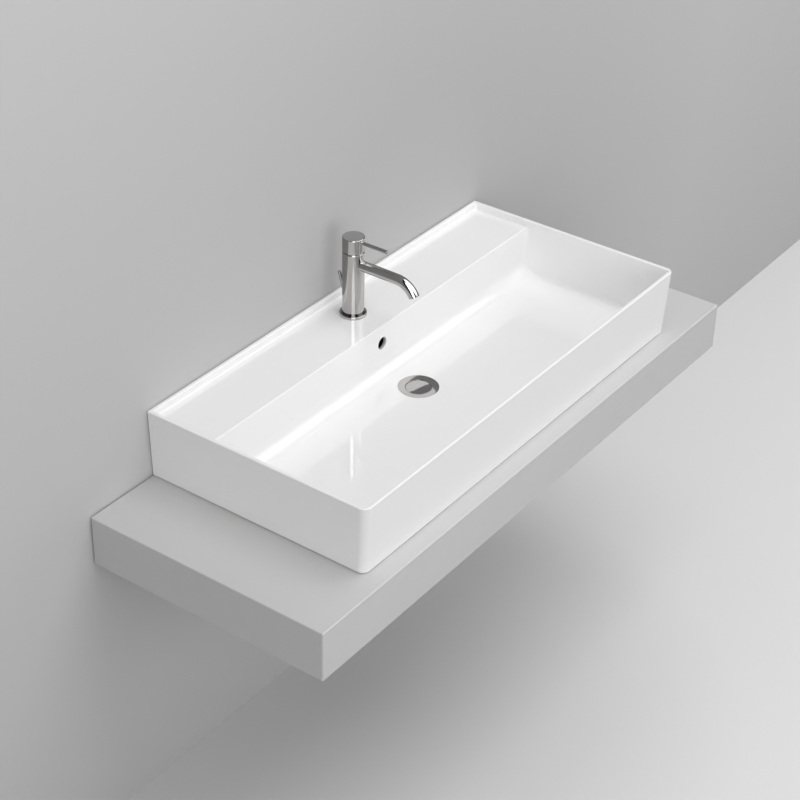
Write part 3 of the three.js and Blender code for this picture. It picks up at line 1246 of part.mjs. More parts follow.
function plugCap() {
  const radius = PLUG_DIAMETER / 2;
  const hub = PLUG_SEAL_RADIUS - PLUG_SEAL_SECTION / 2 - 0.3;
  const hubBottom = plugUnder - PLUG_SEAL_SECTION - 0.5;
  const bore = stemRadius + CLEARANCE;
  return wasteTurned([
    [bore, hubBottom], [hub - 3.5, hubBottom], [hub, plugUnder], [radius - 0.6, plugUnder],
    [radius, plugUnder + 0.6], [radius, PLUG_TOP - 0.9], [radius - 0.9, PLUG_TOP - 0.1],
    [0, PLUG_TOP + 0.5], [0, plugUnder + 1], [bore, plugUnder + 1],
  ].reverse());
}

function plugSeal() {
  const half = PLUG_SEAL_SECTION / 2;
  const height = plugUnder - CLEARANCE - half;
  const points = Array.from({ length: TINY }, (_, i) => {
    const angle = (2 * Math.PI * i) / TINY;
    return [PLUG_SEAL_RADIUS + half * Math.cos(angle), height + half * Math.sin(angle)];
  });
  return wasteTurned(points, MEDIUM);
}

// The plug's stem with four guide fins, bored below for the adjuster.
function plugStem() {
  const top = plugUnder + 1 - CLEARANCE;
  const bottom = adjusterTop - 6;
  const finTop = plugUnder - PLUG_SEAL_SECTION - 1.2;
  const bore = 2.5 + CLEARANCE;
  const stem = wasteTurned([
    [bore, bottom], [stemRadius, bottom], [stemRadius, top], [0, top], [0, adjusterTop + CLEARANCE],
    [bore, adjusterTop + CLEARANCE],
  ].reverse(), COARSE);
  const half = PLUG_FIN_THICKNESS / 2;
  const low = DRAIN_Z + finTop - PLUG_FIN_LENGTH;
  const high = DRAIN_Z + finTop;
  const wide = block(-PLUG_FIN_RADIUS, PLUG_FIN_RADIUS, WASTE_Y - half, WASTE_Y + half, low, high);
  const deep = block(-half, half, WASTE_Y - PLUG_FIN_RADIUS, WASTE_Y + PLUG_FIN_RADIUS, low, high);
  return join(stem, wide, deep);
}

// The screw in the stem's foot, with the round end that stands on the ball rod.
function plugAdjuster() {
  const profile = [];
  for (let i = 0; i <= 6; i += 1) {
    const angle = radians(-90 + (90 * i) / 6);
    profile.push([stemRadius * Math.cos(angle), footHeight + stemRadius * Math.sin(angle)]);
  }
  profile[0][0] = 0;
  profile.push([2.5, footHeight + 1], [2.5, adjusterTop], [0, adjusterTop]);
  return wasteTurned(profile, COARSE);
}

function adjusterNut() {
  const top = DRAIN_Z + adjusterTop - 6 - CLEARANCE;
  const hex = prism(hexagon(ADJUSTER_NUT_ACROSS_FLATS, 0, WASTE_Y), top - ADJUSTER_NUT_HEIGHT, top);
  return cut(hex, uprightRod(0, WASTE_Y, top - ADJUSTER_NUT_HEIGHT - 1, top + 1, 5 + 2 * CLEARANCE, COARSE));
}

add('waste_flange', 'chrome', wasteFlange());
add('flange_gasket', 'rubber', flangeGasket());
add('waste_lower_gasket', 'rubber', lowerGasket());
add('waste_locknut', 'brass', locknut());
add('waste_body', 'chrome', wasteBody());
add('pivot_seal', 'nylon', pivotSeal());
add('pivot_nut', 'chrome', pivotNut());
add('ball_rod', 'chrome', ballRod());
add('plug_cap', 'chrome', plugCap());
add('plug_seal', 'rubber', plugSeal());
add('plug_stem', 'nylon', plugStem());
add('plug_adjuster', 'brass', plugAdjuster());
add('adjuster_nut', 'brass', adjusterNut());

// ---------------------------------------------------------------- bottle trap

// A revolved piece of the trap, with heights from the bowl floor, downwards negative.
function trapTurned(profile, segments = MEDIUM) {
  return revolve(profile, 0, WASTE_Y, FLOOR_Z, segments);
}

// Small grips round a nut or a cup, as upright half-round ribs.
function grips(radius, z0, z1, count) {
  return Array.from({ length: count }, (_, i) => {
    const angle = (2 * Math.PI * i) / count;
    const x = radius * Math.cos(angle);
    const y = WASTE_Y + radius * Math.sin(angle);
    return uprightRod(x, y, z0, z1, GRIP_DIAMETER, TINY);
  });
}

function trapNut() {
  const outer = TRAP_NUT_DIAMETER / 2;
  const neck = TRAP_NECK_DIAMETER / 2 + CLEARANCE;
  const tail = TAIL_DIAMETER / 2 + 2 * CLEARANCE;
  const top = -TRAP_NUT_TOP;
  const bottom = top - TRAP_NUT_HEIGHT;
  const step = -TRAP_TOP + TRAP_SEAL_THICKNESS + 2 * CLEARANCE;
  return trapTurned([
    [tail, top], [outer - 3, top], [outer, top - 3], [outer, bottom], [neck, bottom], [neck, step],
    [tail, step],
  ].reverse());
}

function trapSeal() {
  const inner = TAIL_DIAMETER / 2 + 2 * CLEARANCE;
  const outer = TRAP_NECK_DIAMETER / 2 - 0.5;
  const bottom = -TRAP_TOP + CLEARANCE;
  return trapTurned([[inner, bottom], [outer, bottom], [outer, bottom + TRAP_SEAL_THICKNESS],
    [inner, bottom + TRAP_SEAL_THICKNESS]], MEDIUM);
}

// The trap's head: neck, dome, outlet boss at the back, and the dip tube down into the cup.
function trapHead() {
  const neck = TRAP_NECK_DIAMETER / 2;
  const socket = TAIL_DIAMETER / 2 + 2 * CLEARANCE;
  const outer = TRAP_DIAMETER / 2;
  const inner = outer - TRAP_WALL;
  const dip = TRAP_DIP_DIAMETER / 2;
  const dipBore = dip - 2;
  const shoulder = -TRAP_TOP - TRAP_NECK_HEIGHT;
  const skirtBottom = shoulder - TRAP_BODY_HEIGHT;
  const step = -TAIL_DROP - CLEARANCE;
  const head = trapTurned([
    [socket, -TRAP_TOP], [neck, -TRAP_TOP], [neck, shoulder], [outer - 4, shoulder], [outer, shoulder - 4],
    [outer, skirtBottom], [inner, skirtBottom], [inner, shoulder - 6], [dip, shoulder - 8],
    [dip, -TRAP_DIP_BOTTOM], [dipBore, -TRAP_DIP_BOTTOM], [dipBore, step - 3], [socket, step],
  ].reverse());
  const z = FLOOR_Z - OUTLET_DROP;
  const boss = cut(rod(new THREE.Vector3(0, WASTE_Y + inner + 1, z),
    new THREE.Vector3(0, WASTE_Y + OUTLET_BOSS_REACH, z), OUTLET_BOSS_DIAMETER, MEDIUM),
  uprightRod(0, WASTE_Y, z - 30, z + 30, 2 * inner + 0.5, MEDIUM));
  const bore = rod(new THREE.Vector3(0, WASTE_Y + inner - 2, z),
    new THREE.Vector3(0, WASTE_Y + OUTLET_BOSS_REACH + 1, z),
    OUTLET_PIPE_DIAMETER + 2 * CLEARANCE, MEDIUM);
  return cut(join(head, boss), bore);
}

function trapCup() {
  const thread = TRAP_DIAMETER / 2 - TRAP_WALL - CLEARANCE;
  const outer = TRAP_DIAMETER / 2;
  const skirtBottom = -TRAP_TOP - TRAP_NECK_HEIGHT - TRAP_BODY_HEIGHT;
  const rim = skirtBottom + TRAP_THREAD_HEIGHT;
  const lip = skirtBottom - 2 - 2 * CLEARANCE;
  const inner = thread - TRAP_CUP_WALL;
  const cup = trapTurned([
    [0, -TRAP_BOTTOM], [outer - 8, -TRAP_BOTTOM], [outer - 1.5, -TRAP_BOTTOM + 5], [outer - 1.5, lip],
    [thread, lip], [thread, rim], [inner, rim], [inner, -TRAP_BOTTOM + 5],
    [inner - 5, -TRAP_BOTTOM + TRAP_CUP_WALL], [0, -TRAP_BOTTOM + TRAP_CUP_WALL],
  ]);
  return join(cup, ...grips(outer - 1.5, FLOOR_Z - TRAP_BOTTOM + 8, FLOOR_Z + lip - 1, TRAP_GRIPS));
}

function cupSeal() {
  const skirtBottom = -TRAP_TOP - TRAP_NECK_HEIGHT - TRAP_BODY_HEIGHT;
  const inner = TRAP_DIAMETER / 2 - TRAP_WALL + 0.2;
  const outer = TRAP_DIAMETER / 2 - 1.5;
  return trapTurned([[inner, skirtBottom - 2 - CLEARANCE], [outer, skirtBottom - 2 - CLEARANCE],
    [outer, skirtBottom - CLEARANCE], [inner, skirtBottom - CLEARANCE]], MEDIUM);
}

const outletZ = FLOOR_Z - OUTLET_DROP;

// A revolved piece round the outlet pipe, with distances from the waste's axis towards the wall.
function outletTurned(profile, segments = MEDIUM) {
  return revolve(profile, 0, WASTE_Y, outletZ, segments, backward);
}

function outletNut() {
  const bore = OUTLET_BOSS_DIAMETER / 2 + CLEARANCE;
  const pipe = OUTLET_PIPE_DIAMETER / 2 + CLEARANCE;
  const outer = OUTLET_NUT_DIAMETER / 2;
  const end = OUTLET_BOSS_REACH + CLEARANCE;
  return outletTurned([
    [bore, end + 4 - OUTLET_NUT_LENGTH], [outer, end + 4 - OUTLET_NUT_LENGTH], [outer, end + 2],
    [outer - 2, end + 4], [pipe, end + 4], [pipe, end], [bore, end],
  ]);
}

function outletPipe() {
  const outer = OUTLET_PIPE_DIAMETER / 2;
  const inner = outer - OUTLET_PIPE_WALL;
  const start = TRAP_DIAMETER / 2;
  return outletTurned([[inner, start], [outer, start], [outer, WASTE_FROM_WALL], [inner, WASTE_FROM_WALL]]);
}

function wallRosette() {
  const outer = ROSETTE_DIAMETER / 2;
  const bore = OUTLET_PIPE_DIAMETER / 2 + CLEARANCE;
  const wall = WASTE_FROM_WALL;
  return outletTurned([
    [bore, wall - ROSETTE_DEPTH], [bore + 4, wall - ROSETTE_DEPTH], [outer - 4, wall - ROSETTE_DEPTH + 5],
    [outer, wall - 2], [outer, wall], [outer - ROSETTE_SHEET, wall], [outer - ROSETTE_SHEET, wall - 1],
    [outer - 5, wall - ROSETTE_DEPTH + 6.5], [bore + 3.5, wall - ROSETTE_DEPTH + ROSETTE_SHEET],
    [bore, wall - ROSETTE_DEPTH + ROSETTE_SHEET],
  ]);
}

add('trap_nut', 'chrome', trapNut());
add('trap_seal', 'rubber', trapSeal());
add('trap_head', 'chrome', trapHead());
add('trap_cup', 'chrome', trapCup());
add('cup_seal', 'rubber', cupSeal());
add('outlet_nut', 'chrome', outletNut());
add('outlet_pipe', 'chrome', outletPipe());
add('wall_rosette', 'chrome', wallRosette());

export default washbasin;
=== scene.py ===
"""Looks of a china washbasin on a wall-hung shelf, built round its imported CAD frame.

Lengths inside the classes are millimetres in the part's own frame: +X to the right of the basin,
+Y into the wall, +Z up. Meshes are scaled to metres when they are made.
"""

import json
import logging
import math
from collections.abc import Iterable, Sequence
from dataclasses import dataclass, field
from enum import Enum

import bmesh
import bpy
from mathutils import Matrix, Vector

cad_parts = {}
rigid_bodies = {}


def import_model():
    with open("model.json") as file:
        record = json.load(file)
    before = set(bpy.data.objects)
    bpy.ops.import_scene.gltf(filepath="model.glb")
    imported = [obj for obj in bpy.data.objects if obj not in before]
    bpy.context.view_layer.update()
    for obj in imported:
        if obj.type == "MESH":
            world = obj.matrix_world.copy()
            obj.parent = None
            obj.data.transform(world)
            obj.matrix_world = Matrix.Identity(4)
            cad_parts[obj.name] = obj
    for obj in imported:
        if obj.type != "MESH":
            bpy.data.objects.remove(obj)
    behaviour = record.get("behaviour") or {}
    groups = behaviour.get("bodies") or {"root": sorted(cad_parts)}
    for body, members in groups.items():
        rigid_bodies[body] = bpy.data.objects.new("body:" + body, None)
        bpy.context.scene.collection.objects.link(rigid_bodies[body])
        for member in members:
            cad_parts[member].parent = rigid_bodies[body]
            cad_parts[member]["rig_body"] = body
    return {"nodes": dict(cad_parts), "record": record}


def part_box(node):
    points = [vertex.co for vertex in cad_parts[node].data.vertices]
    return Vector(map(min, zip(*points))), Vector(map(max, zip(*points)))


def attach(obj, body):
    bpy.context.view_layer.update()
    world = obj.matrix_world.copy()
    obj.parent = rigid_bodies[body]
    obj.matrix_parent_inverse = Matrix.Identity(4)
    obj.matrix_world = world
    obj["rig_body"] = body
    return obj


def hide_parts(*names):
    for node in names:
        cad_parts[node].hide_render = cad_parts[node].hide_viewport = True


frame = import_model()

MM = 0.001
LOG = logging.getLogger("washbasin")
LIFT_LEAN = 17.0  # degrees by which the lift rod leans back
LIFT_BEHIND = 8.0  # millimetres from the tap's axis to the lift rod's foot

Piece = bpy.types.Object
Place = Sequence[float]
Socket = bpy.types.NodeSocket
Point = tuple[float, float, float]
Color = tuple[float, float, float]
Flat = tuple[float, float]
Span = tuple[float, float]
Corner = tuple[float, float, float]


class Slot(Enum):
    """The material slots of the record."""

    LACQUER = "lacquer"
    BOARD = "board"
    STEEL = "steel"
    CHINA = "china"
    SILICONE = "silicone"
    CHROME = "chrome"
    BRASS = "brass"
    RUBBER = "rubber"
    NYLON = "nylon"


class Sides(Enum):
    """How many sides a turned piece gets."""

    FINE = 128
    MEDIUM = 72
    SMALL = 40


def cad_box(node: str) -> tuple[Vector, Vector]:
    """Box of a CAD node in millimetres.

    Args:
        node: The node's name.

    Returns:
        Its lowest and highest corners.
    """
    low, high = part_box(node)
    return low / MM, high / MM


# ---------------------------------------- meshes


def mesh_piece(name: str, points: Iterable[Place], faces: Iterable[Sequence[int]]) -> Piece:
    """Make a mesh object from points in millimetres.

    Args:
        name: The object's name.
        points: Its vertices.
        faces: Its faces as vertex numbers.

    Returns:
        The object, linked to the scene, with its faces turned outwards.
    """
    mesh = bpy.data.meshes.new(name)
    mesh.from_pydata([tuple(c * MM for c in p) for p in points], [], [tuple(f) for f in faces])
    work = bmesh.new()
    work.from_mesh(mesh)
    bmesh.ops.remove_doubles(work, verts=work.verts, dist=1e-7)
    bmesh.ops.recalc_face_normals(work, faces=work.faces)
    work.to_mesh(mesh)
    work.free()
    piece = bpy.data.objects.new(name, mesh)
    bpy.context.scene.collection.objects.link(piece)
    return piece


def skin(name: str, rings: Sequence[Sequence[Place]], ends: bool = True) -> Piece:
    """Close a surface over rings that have the same number of points.

    Args:
        name: The object's name.
        rings: Rings of points, each going round once.
        ends: Whether the first and last rings are capped; otherwise they are joined to each other.

    Returns:
        The mesh object.
    """
    count = len(rings[0])
    points = [p for ring in rings for p in ring]
    faces: list[Sequence[int]] = []
    for level in range(len(rings) if not ends else len(rings) - 1):
        low = level * count
        high = ((level + 1) % len(rings)) * count
        for i in range(count):
            j = (i + 1) % count
            faces.append((low + i, low + j, high + j, high + i))
    if ends:
        faces.append(tuple(reversed(range(count))))
        faces.append(tuple(range(len(points) - count, len(points))))
    return mesh_piece(name, points, faces)


def arc(centre: Flat, radius: float, start: float, end: float, steps: int) -> list[Flat]:
    """Points along an arc.

    Args:
        centre: The arc's centre.
        radius: Its radius.
        start: First angle, in degrees.
        end: Last angle, in degrees.
        steps: Number of chords.

    Returns:
        The points, both ends among them.
    """
    angles = [math.radians(start + (end - start) * i / steps) for i in range(steps + 1)]
    return [(centre[0] + radius * math.cos(a), centre[1] + radius * math.sin(a)) for a in angles]


def around(count: int, radius: float = 1.0) -> list[Flat]:
    """Points spaced evenly round a circle.

    Args:
        count: How many there are.
        radius: The circle's radius.

    Returns:
        The points, from the one on the first axis.
    """
    angles = [2 * math.pi * i / count for i in range(count)]
    return [(radius * math.cos(a), radius * math.sin(a)) for a in angles]


def eased(corners: Sequence[Corner], steps: int = 5) -> list[Flat]:
    """Round the corners of a profile.

    Args:
        corners: Points as (radius, height, rounding); a rounding of 0 keeps the corner.
        steps: Number of chords in each rounding.

    Returns:
        The profile's points, closed when the corners are.
    """
    done: list[Flat] = []
    for i, (r, h, rounding) in enumerate(corners):
        here = Vector((r, h))
        before = Vector(corners[i - 1][:2]) - here
        after = Vector(corners[(i + 1) % len(corners)][:2]) - here
        if rounding <= 0 or before.length < 1e-6 or after.length < 1e-6:
            done.append((r, h))
            continue
        before.normalize()
        after.normalize()
        half = before.angle(after) / 2
        reach = rounding / math.tan(half)
        middle = here + (before + after).normalized() * (rounding / math.sin(half))
        first = here + before * reach
        last = here + after * reach
        turn = (first - middle).angle_signed(last - middle)
        for k in range(steps + 1):
            spoke = (first - middle).copy()
            spoke.rotate(Matrix.Rotation(-turn * k / steps, 2))
            done.append(tuple(middle + spoke))
    return done


def axis_turn(direction: Place) -> Matrix:
    """The rotation that takes +Z to a direction.

    Args:
        direction: The direction wanted.

    Returns:
        A 4x4 rotation.
    """
    return Vector((0, 0, 1)).rotation_difference(Vector(direction).normalized()).to_matrix().to_4x4()


def turned(name: str, profile: Sequence[Flat], origin: Place, direction: Place = (0, 0, 1),
           sides: Sides = Sides.FINE) -> Piece:
    """Turn a closed profile round an axis.

    Args:
        name: The object's name.
        profile: Points as (radius, height), going round the section; points on the axis are joined.
        origin: The axis' zero point.
        direction: The axis' direction.
        sides: How many sides the piece gets.

    Returns:
        The mesh object.
    """
    place = Matrix.Translation(Vector(origin)) @ axis_turn(direction)
    count = sides.value
    points: list[Vector] = []
    starts: list[tuple[int, bool]] = []
    for radius, height in profile:
        on_axis = radius < 1e-6
        starts.append((len(points), on_axis))
        points += [place @ Vector((x, y, height)) for x, y in around(1 if on_axis else count, radius)]
    faces: list[Sequence[int]] = []
    for level, (low, low_axis) in enumerate(starts):
        high, high_axis = starts[(level + 1) % len(starts)]
        if low_axis and high_axis:
            continue
        for i in range(count):
            j = (i + 1) % count
            if low_axis:
                faces.append((low, high + j, high + i))
            elif high_axis:
                faces.append((low + i, low + j, high))
            else:
                faces.append((low + i, low + j, high + j, high + i))
    return mesh_piece(name, points, faces)


def rod(name: str, start: Place, end: Place, diameter: float, sides: Sides = Sides.SMALL) -> Piece:
    """A round bar between two points, with its ends square.

    Args:
        name: The object's name.
        start: Centre of one end.
        end: Centre of the other.
        diameter: The bar's diameter.
        sides: How many sides it gets.

    Returns:
        The mesh object.
    """
    run = Vector(end) - Vector(start)
    radius = diameter / 2
    return turned(name, [(0, 0), (radius, 0), (radius, run.length), (0, run.length)], start, run, sides)


def block(name: str, low: Place, high: Place) -> Piece:
    """A box between two corners.

    Args:
        name: The object's name.
        low: Lowest corner.
        high: Highest corner.

    Returns:
        The mesh object.
    """
    square = [(low[0], low[1]), (high[0], low[1]), (high[0], high[1]), (low[0], high[1])]
    return skin(name, [[(x, y, z) for x, y in square] for z in (low[2], high[2])])


def rounded_outline(x0: float, x1: float, front: float, back: float, front_round: float,
                    back_round: float, steps: int = 10,
                    between: tuple[int, int] = (0, 0)) -> list[Flat]:
    """A rectangle with rounded corners, counter-clockwise from the front left.

    Args:
        x0: Left side.
        x1: Right side.
        front: Front side.
        back: Back side.
        front_round: Radius of the two front corners.
        back_round: Radius of the two back corners.
        steps: Chords in each corner.
        between: Extra points along the front and back, and along the two ends.

    Returns:
        The outline's points.
    """
    f, b = front_round, back_round
    corners = [
        arc((x0 + f, front + f), f, 180, 270, steps),
        arc((x1 - f, front + f), f, 270, 360, steps),
        arc((x1 - b, back - b), b, 0, 90, steps),
        arc((x0 + b, back - b), b, 90, 180, steps),
    ]
    outline: list[Flat] = []
    for i, corner in enumerate(corners):
        outline += corner
        start, end = Vector(corner[-1]), Vector(corners[(i + 1) % 4][0])
        extra = between[i % 2]
        outline += [tuple(start.lerp(end, k / (extra + 1))) for k in range(1, extra + 1)]
    return outline


def quarter(radius: float, steps: int) -> list[Flat]:
    """How far in and how far along a quarter round goes, from its start.

    Args:
        radius: The round's radius.
        steps: Number of chords.

    Returns:
        Pairs of (inward, along).
    """
    angles = [math.radians(90 * i / steps) for i in range(steps + 1)]
    return [(radius * (1 - math.cos(a)), radius * math.sin(a)) for a in angles]


def carve(piece: Piece, *cutters: Piece, operation: str = "DIFFERENCE") -> Piece:
    """Cut a piece by others, or join them to it, and remove them.

    Args:
        piece: The piece to change.
        cutters: The tools.
        operation: DIFFERENCE or UNION.

    Returns:
        The changed piece.
    """
    for cutter in cutters:
        step = piece.modifiers.new("carve", "BOOLEAN")
        step.solver = "EXACT"
        step.operation = operation
        step.object = cutter
    bpy.context.view_layer.update()
    graph = bpy.context.evaluated_depsgraph_get()
    result = bpy.data.meshes.new_from_object(piece.evaluated_get(graph))
    piece.modifiers.clear()
    old = piece.data
    piece.data = result
    bpy.data.meshes.remove(old)
    result.name = piece.name
    for cutter in cutters:
        mesh = cutter.data
        bpy.data.objects.remove(cutter)
        bpy.data.meshes.remove(mesh)
    return piece


def moved(piece: Piece, origin: Place, turn: Matrix | None = None) -> Piece:
    """Turn a piece about the frame's origin, then carry it to a place.

    Args:
        piece: The piece.
        origin: Where the frame's origin goes.
        turn: The rotation, if any.

    Returns:
        The piece.
    """
    piece.data.transform(Matrix.Translation(Vector(origin) * MM) @ (turn or Matrix.Identity(4)))
    return piece


def slab(name: str, low: Place, high: Place, corner: float, edge: float) -> Piece:
    """A box with rounded upright corners and eased edges above and below.

    Args:
        name: The object's name.
        low: Lowest corner.
        high: Highest corner.
        corner: Radius of the upright corners.
        edge: Radius of the eased edges.

    Returns:
        The mesh object.
    """
    rounds = quarter(edge, 4)
    levels = [(inward, low[2] + edge - along) for inward, along in reversed(rounds)]
    levels += [(inward, high[2] - edge + along) for inward, along in rounds]
    rings = []
    for inward, level in levels:
        radius = max(corner - inward, 0.05)
        outline = rounded_outline(low[0] + inward, high[0] - inward, low[1] + inward, high[1] - inward,
                                  radius, radius, 6)
        rings.append([(x, y, level) for x, y in outline])
    return skin(name, rings)


def threaded(start: Sequence[Flat], radius: float, low: float, high: float, pitch: float,
             end: Sequence[Flat]) -> list[Flat]:
    """Profile of a screw, with its thread shown as ridges.

    Args:
        start: The profile's points before the thread.
        radius: Radius over the ridges.
        low: Where the thread starts.
        high: Where it ends at the latest.
        pitch: Distance from ridge to ridge.
        end: The profile's points after the thread.

    Returns:
        The profile's points.
    """
    depth = 0.45 * pitch
    points = [*start, (radius - depth, low)]
    for i in range(int((high - low) / pitch)):
        level = low + i * pitch
        points += [(radius, level + 0.42 * pitch), (radius, level + 0.58 * pitch),
                   (radius - depth, level + pitch)]
    return [*points, *end]


def hex_bar(name: str, start: Vector, direction: Place, across: float, length: float) -> Piece:
    """A hexagonal bar.

    Args:
        name: The object's name.
        start: Centre of one end.
        direction: Where it points.
        across: Its size across flats.
        length: Its length.

    Returns:
        The mesh object.
    """
    corners = around(6, across / math.sqrt(3))
    bar = skin(name, [[(x, y, z) for x, y in corners] for z in (0.0, length)])
    return moved(bar, start, axis_turn(direction))


def hex_nut(name: str, start: Place, direction: Place, across: float, height: float,
            bore: float) -> Piece:
    """A hexagon nut with its corners turned off and its bore eased.

    Args:
        name: The object's name.
        start: Centre of one face.
        direction: Where it points.
        across: Its size across flats.
        height: Its height.
        bore: Its bore.

    Returns:
        The mesh object.
    """
    nut = hex_bar(name, Vector(start), direction, across, height)
    outer, inner = across * 0.574, bore / 2
    blank = [(inner + 0.5, 0), (across * 0.48, 0), (outer, 1.1), (outer, height - 1.1),
             (across * 0.48, height), (inner + 0.5, height), (inner, height - 0.5), (inner, 0.5)]
    return carve(nut, turned("blank", blank, start, direction, Sides.MEDIUM),
                 operation="INTERSECT")


def settle(piece: Piece, crease: float = 32.0) -> Piece:
    """Shade a piece smoothly, with its creases kept and its flats flat.

    Args:
        piece: The piece.
        crease: Angle in degrees from which an edge stays sharp.

    Returns:
        The piece.
    """
    work = bmesh.new()
    work.from_mesh(piece.data)
    bmesh.ops.remove_doubles(work, verts=work.verts, dist=2e-6)
    bmesh.ops.dissolve_degenerate(work, edges=work.edges, dist=1e-6)
    limit = math.radians(crease)
    for face in work.faces:
        face.smooth = True
    for edge in work.edges:
        edge.smooth = len(edge.link_faces) == 2 and edge.calc_face_angle(0.0) < limit
    work.to_mesh(piece.data)
    work.free()
    weights = piece.modifiers.new("weighted normals", "WEIGHTED_NORMAL")
    weights.keep_sharp = True
    return piece


# ---------------------------------------- materials


class Graph:
    """A node tree with short calls to fill it."""

    def __init__(self, tree: bpy.types.NodeTree) -> None:
        """Wrap a tree.

        Args:
            tree: The tree to fill.
        """
        self.tree = tree

    def node(self, kind: str, inputs: dict[str | int, object] | None = None,
             **settings: object) -> bpy.types.Node:
        """Add a node.

        Args:
            kind: The node's type, without its ShaderNode prefix where it has one.
            inputs: Values or sockets for its inputs, by name or number.
            settings: Properties to set on it.

        Returns:
            The node.
        """
        made = self.tree.nodes.new(kind if kind.startswith("NodeGroup") else f"ShaderNode{kind}")
        for key, value in settings.items():
            setattr(made, key, value)
        for key, value in (inputs or {}).items():
            if isinstance(value, Socket):
                self.tree.links.new(value, made.inputs[key])
            else:
                made.inputs[key].default_value = value
        return made

    def group(self, group: bpy.types.NodeTree, inputs: dict[str | int, object]) -> bpy.types.Node:
        """Place a shared group.

        Args:
            group: The group's tree.
            inputs: Values or sockets for its inputs.

        Returns:
            The group's node.
        """
        return self.node("Group", inputs, node_tree=group)

    def calc(self, operation: str, *values: object) -> Socket:
        """Add a calculation.

        Args:
            operation: What it does.
            values: Numbers or sockets for its inputs, in order.

        Returns:
            Its result.
        """
        return self.node("Math", dict(enumerate(values)), operation=operation).outputs[0]

    def close(self, value: Socket) -> bpy.types.NodeTree:
        """Give a group's value out.

        Args:
            value: The value.

        Returns:
            The group.
        """
        self.tree.links.new(value, self.node("NodeGroupOutput").inputs[0])
        return self.tree

    def mix(self, factor: Socket, first: object, second: object) -> Socket:
        """Mix two colours.

        Args:
            factor: How much of the second one shows.
            first: The colour at 0.
            second: The colour at 1.

        Returns:
            The mixed colour.
        """
        return self.node("Mix", {0: factor, 6: first, 7: second}, data_type="RGBA").outputs[2]

    def span(self, value: Socket, low: object, high: object, start: object = 0.0, end: object = 1.0,
             **settings: object) -> Socket:
        """Stretch a range to another.

        Args:
            value: The value to stretch.
            low: Where the range starts.
            high: Where it ends.
            start: Where the other range starts.
            end: Where that ends.
            settings: Properties to set on the node.

        Returns:
            The stretched value.
        """
        ends = {"Value": value, "From Min": low, "From Max": high, "To Min": start, "To Max": end}
        return self.node("MapRange", ends, **settings).outputs["Result"]

    def noise(self, place: Socket, scale: object, detail: float, roughness: float = 0.5) -> Socket:
        """Add a noise.

        Args:
            place: Where it is looked up.
            scale: Its scale.
            detail: How many finer layers it has.
            roughness: How strong these are.

        Returns:
            Its value.
        """
        return self.node("TexNoise", {"Vector": place, "Scale": scale, "Detail": detail,
                                      "Roughness": roughness}).outputs["Fac"]


@dataclass(frozen=True)
class Port:
    """A named input or output of a node group."""

    name: str
    kind: str
    value: object = None


def new_group(name: str, inputs: Sequence[Port], output: Port) -> tuple[Graph, bpy.types.NodeOutputs]:
    """Start a node group.

    Args:
        name: The group's name.
        inputs: Its inputs.
        output: Its output.

    Returns:
        Its graph, and the sockets that its inputs come in by.
    """
    tree = bpy.data.node_groups.new(name, "ShaderNodeTree")
    for port in inputs:
        socket = tree.interface.new_socket(port.name, in_out="INPUT",
                                           socket_type=f"NodeSocket{port.kind}")
        if port.value is not None:
            socket.default_value = port.value
    tree.interface.new_socket(output.name, in_out="OUTPUT", socket_type=f"NodeSocket{output.kind}")
    graph = Graph(tree)
    return graph, graph.node("NodeGroupInput").outputs


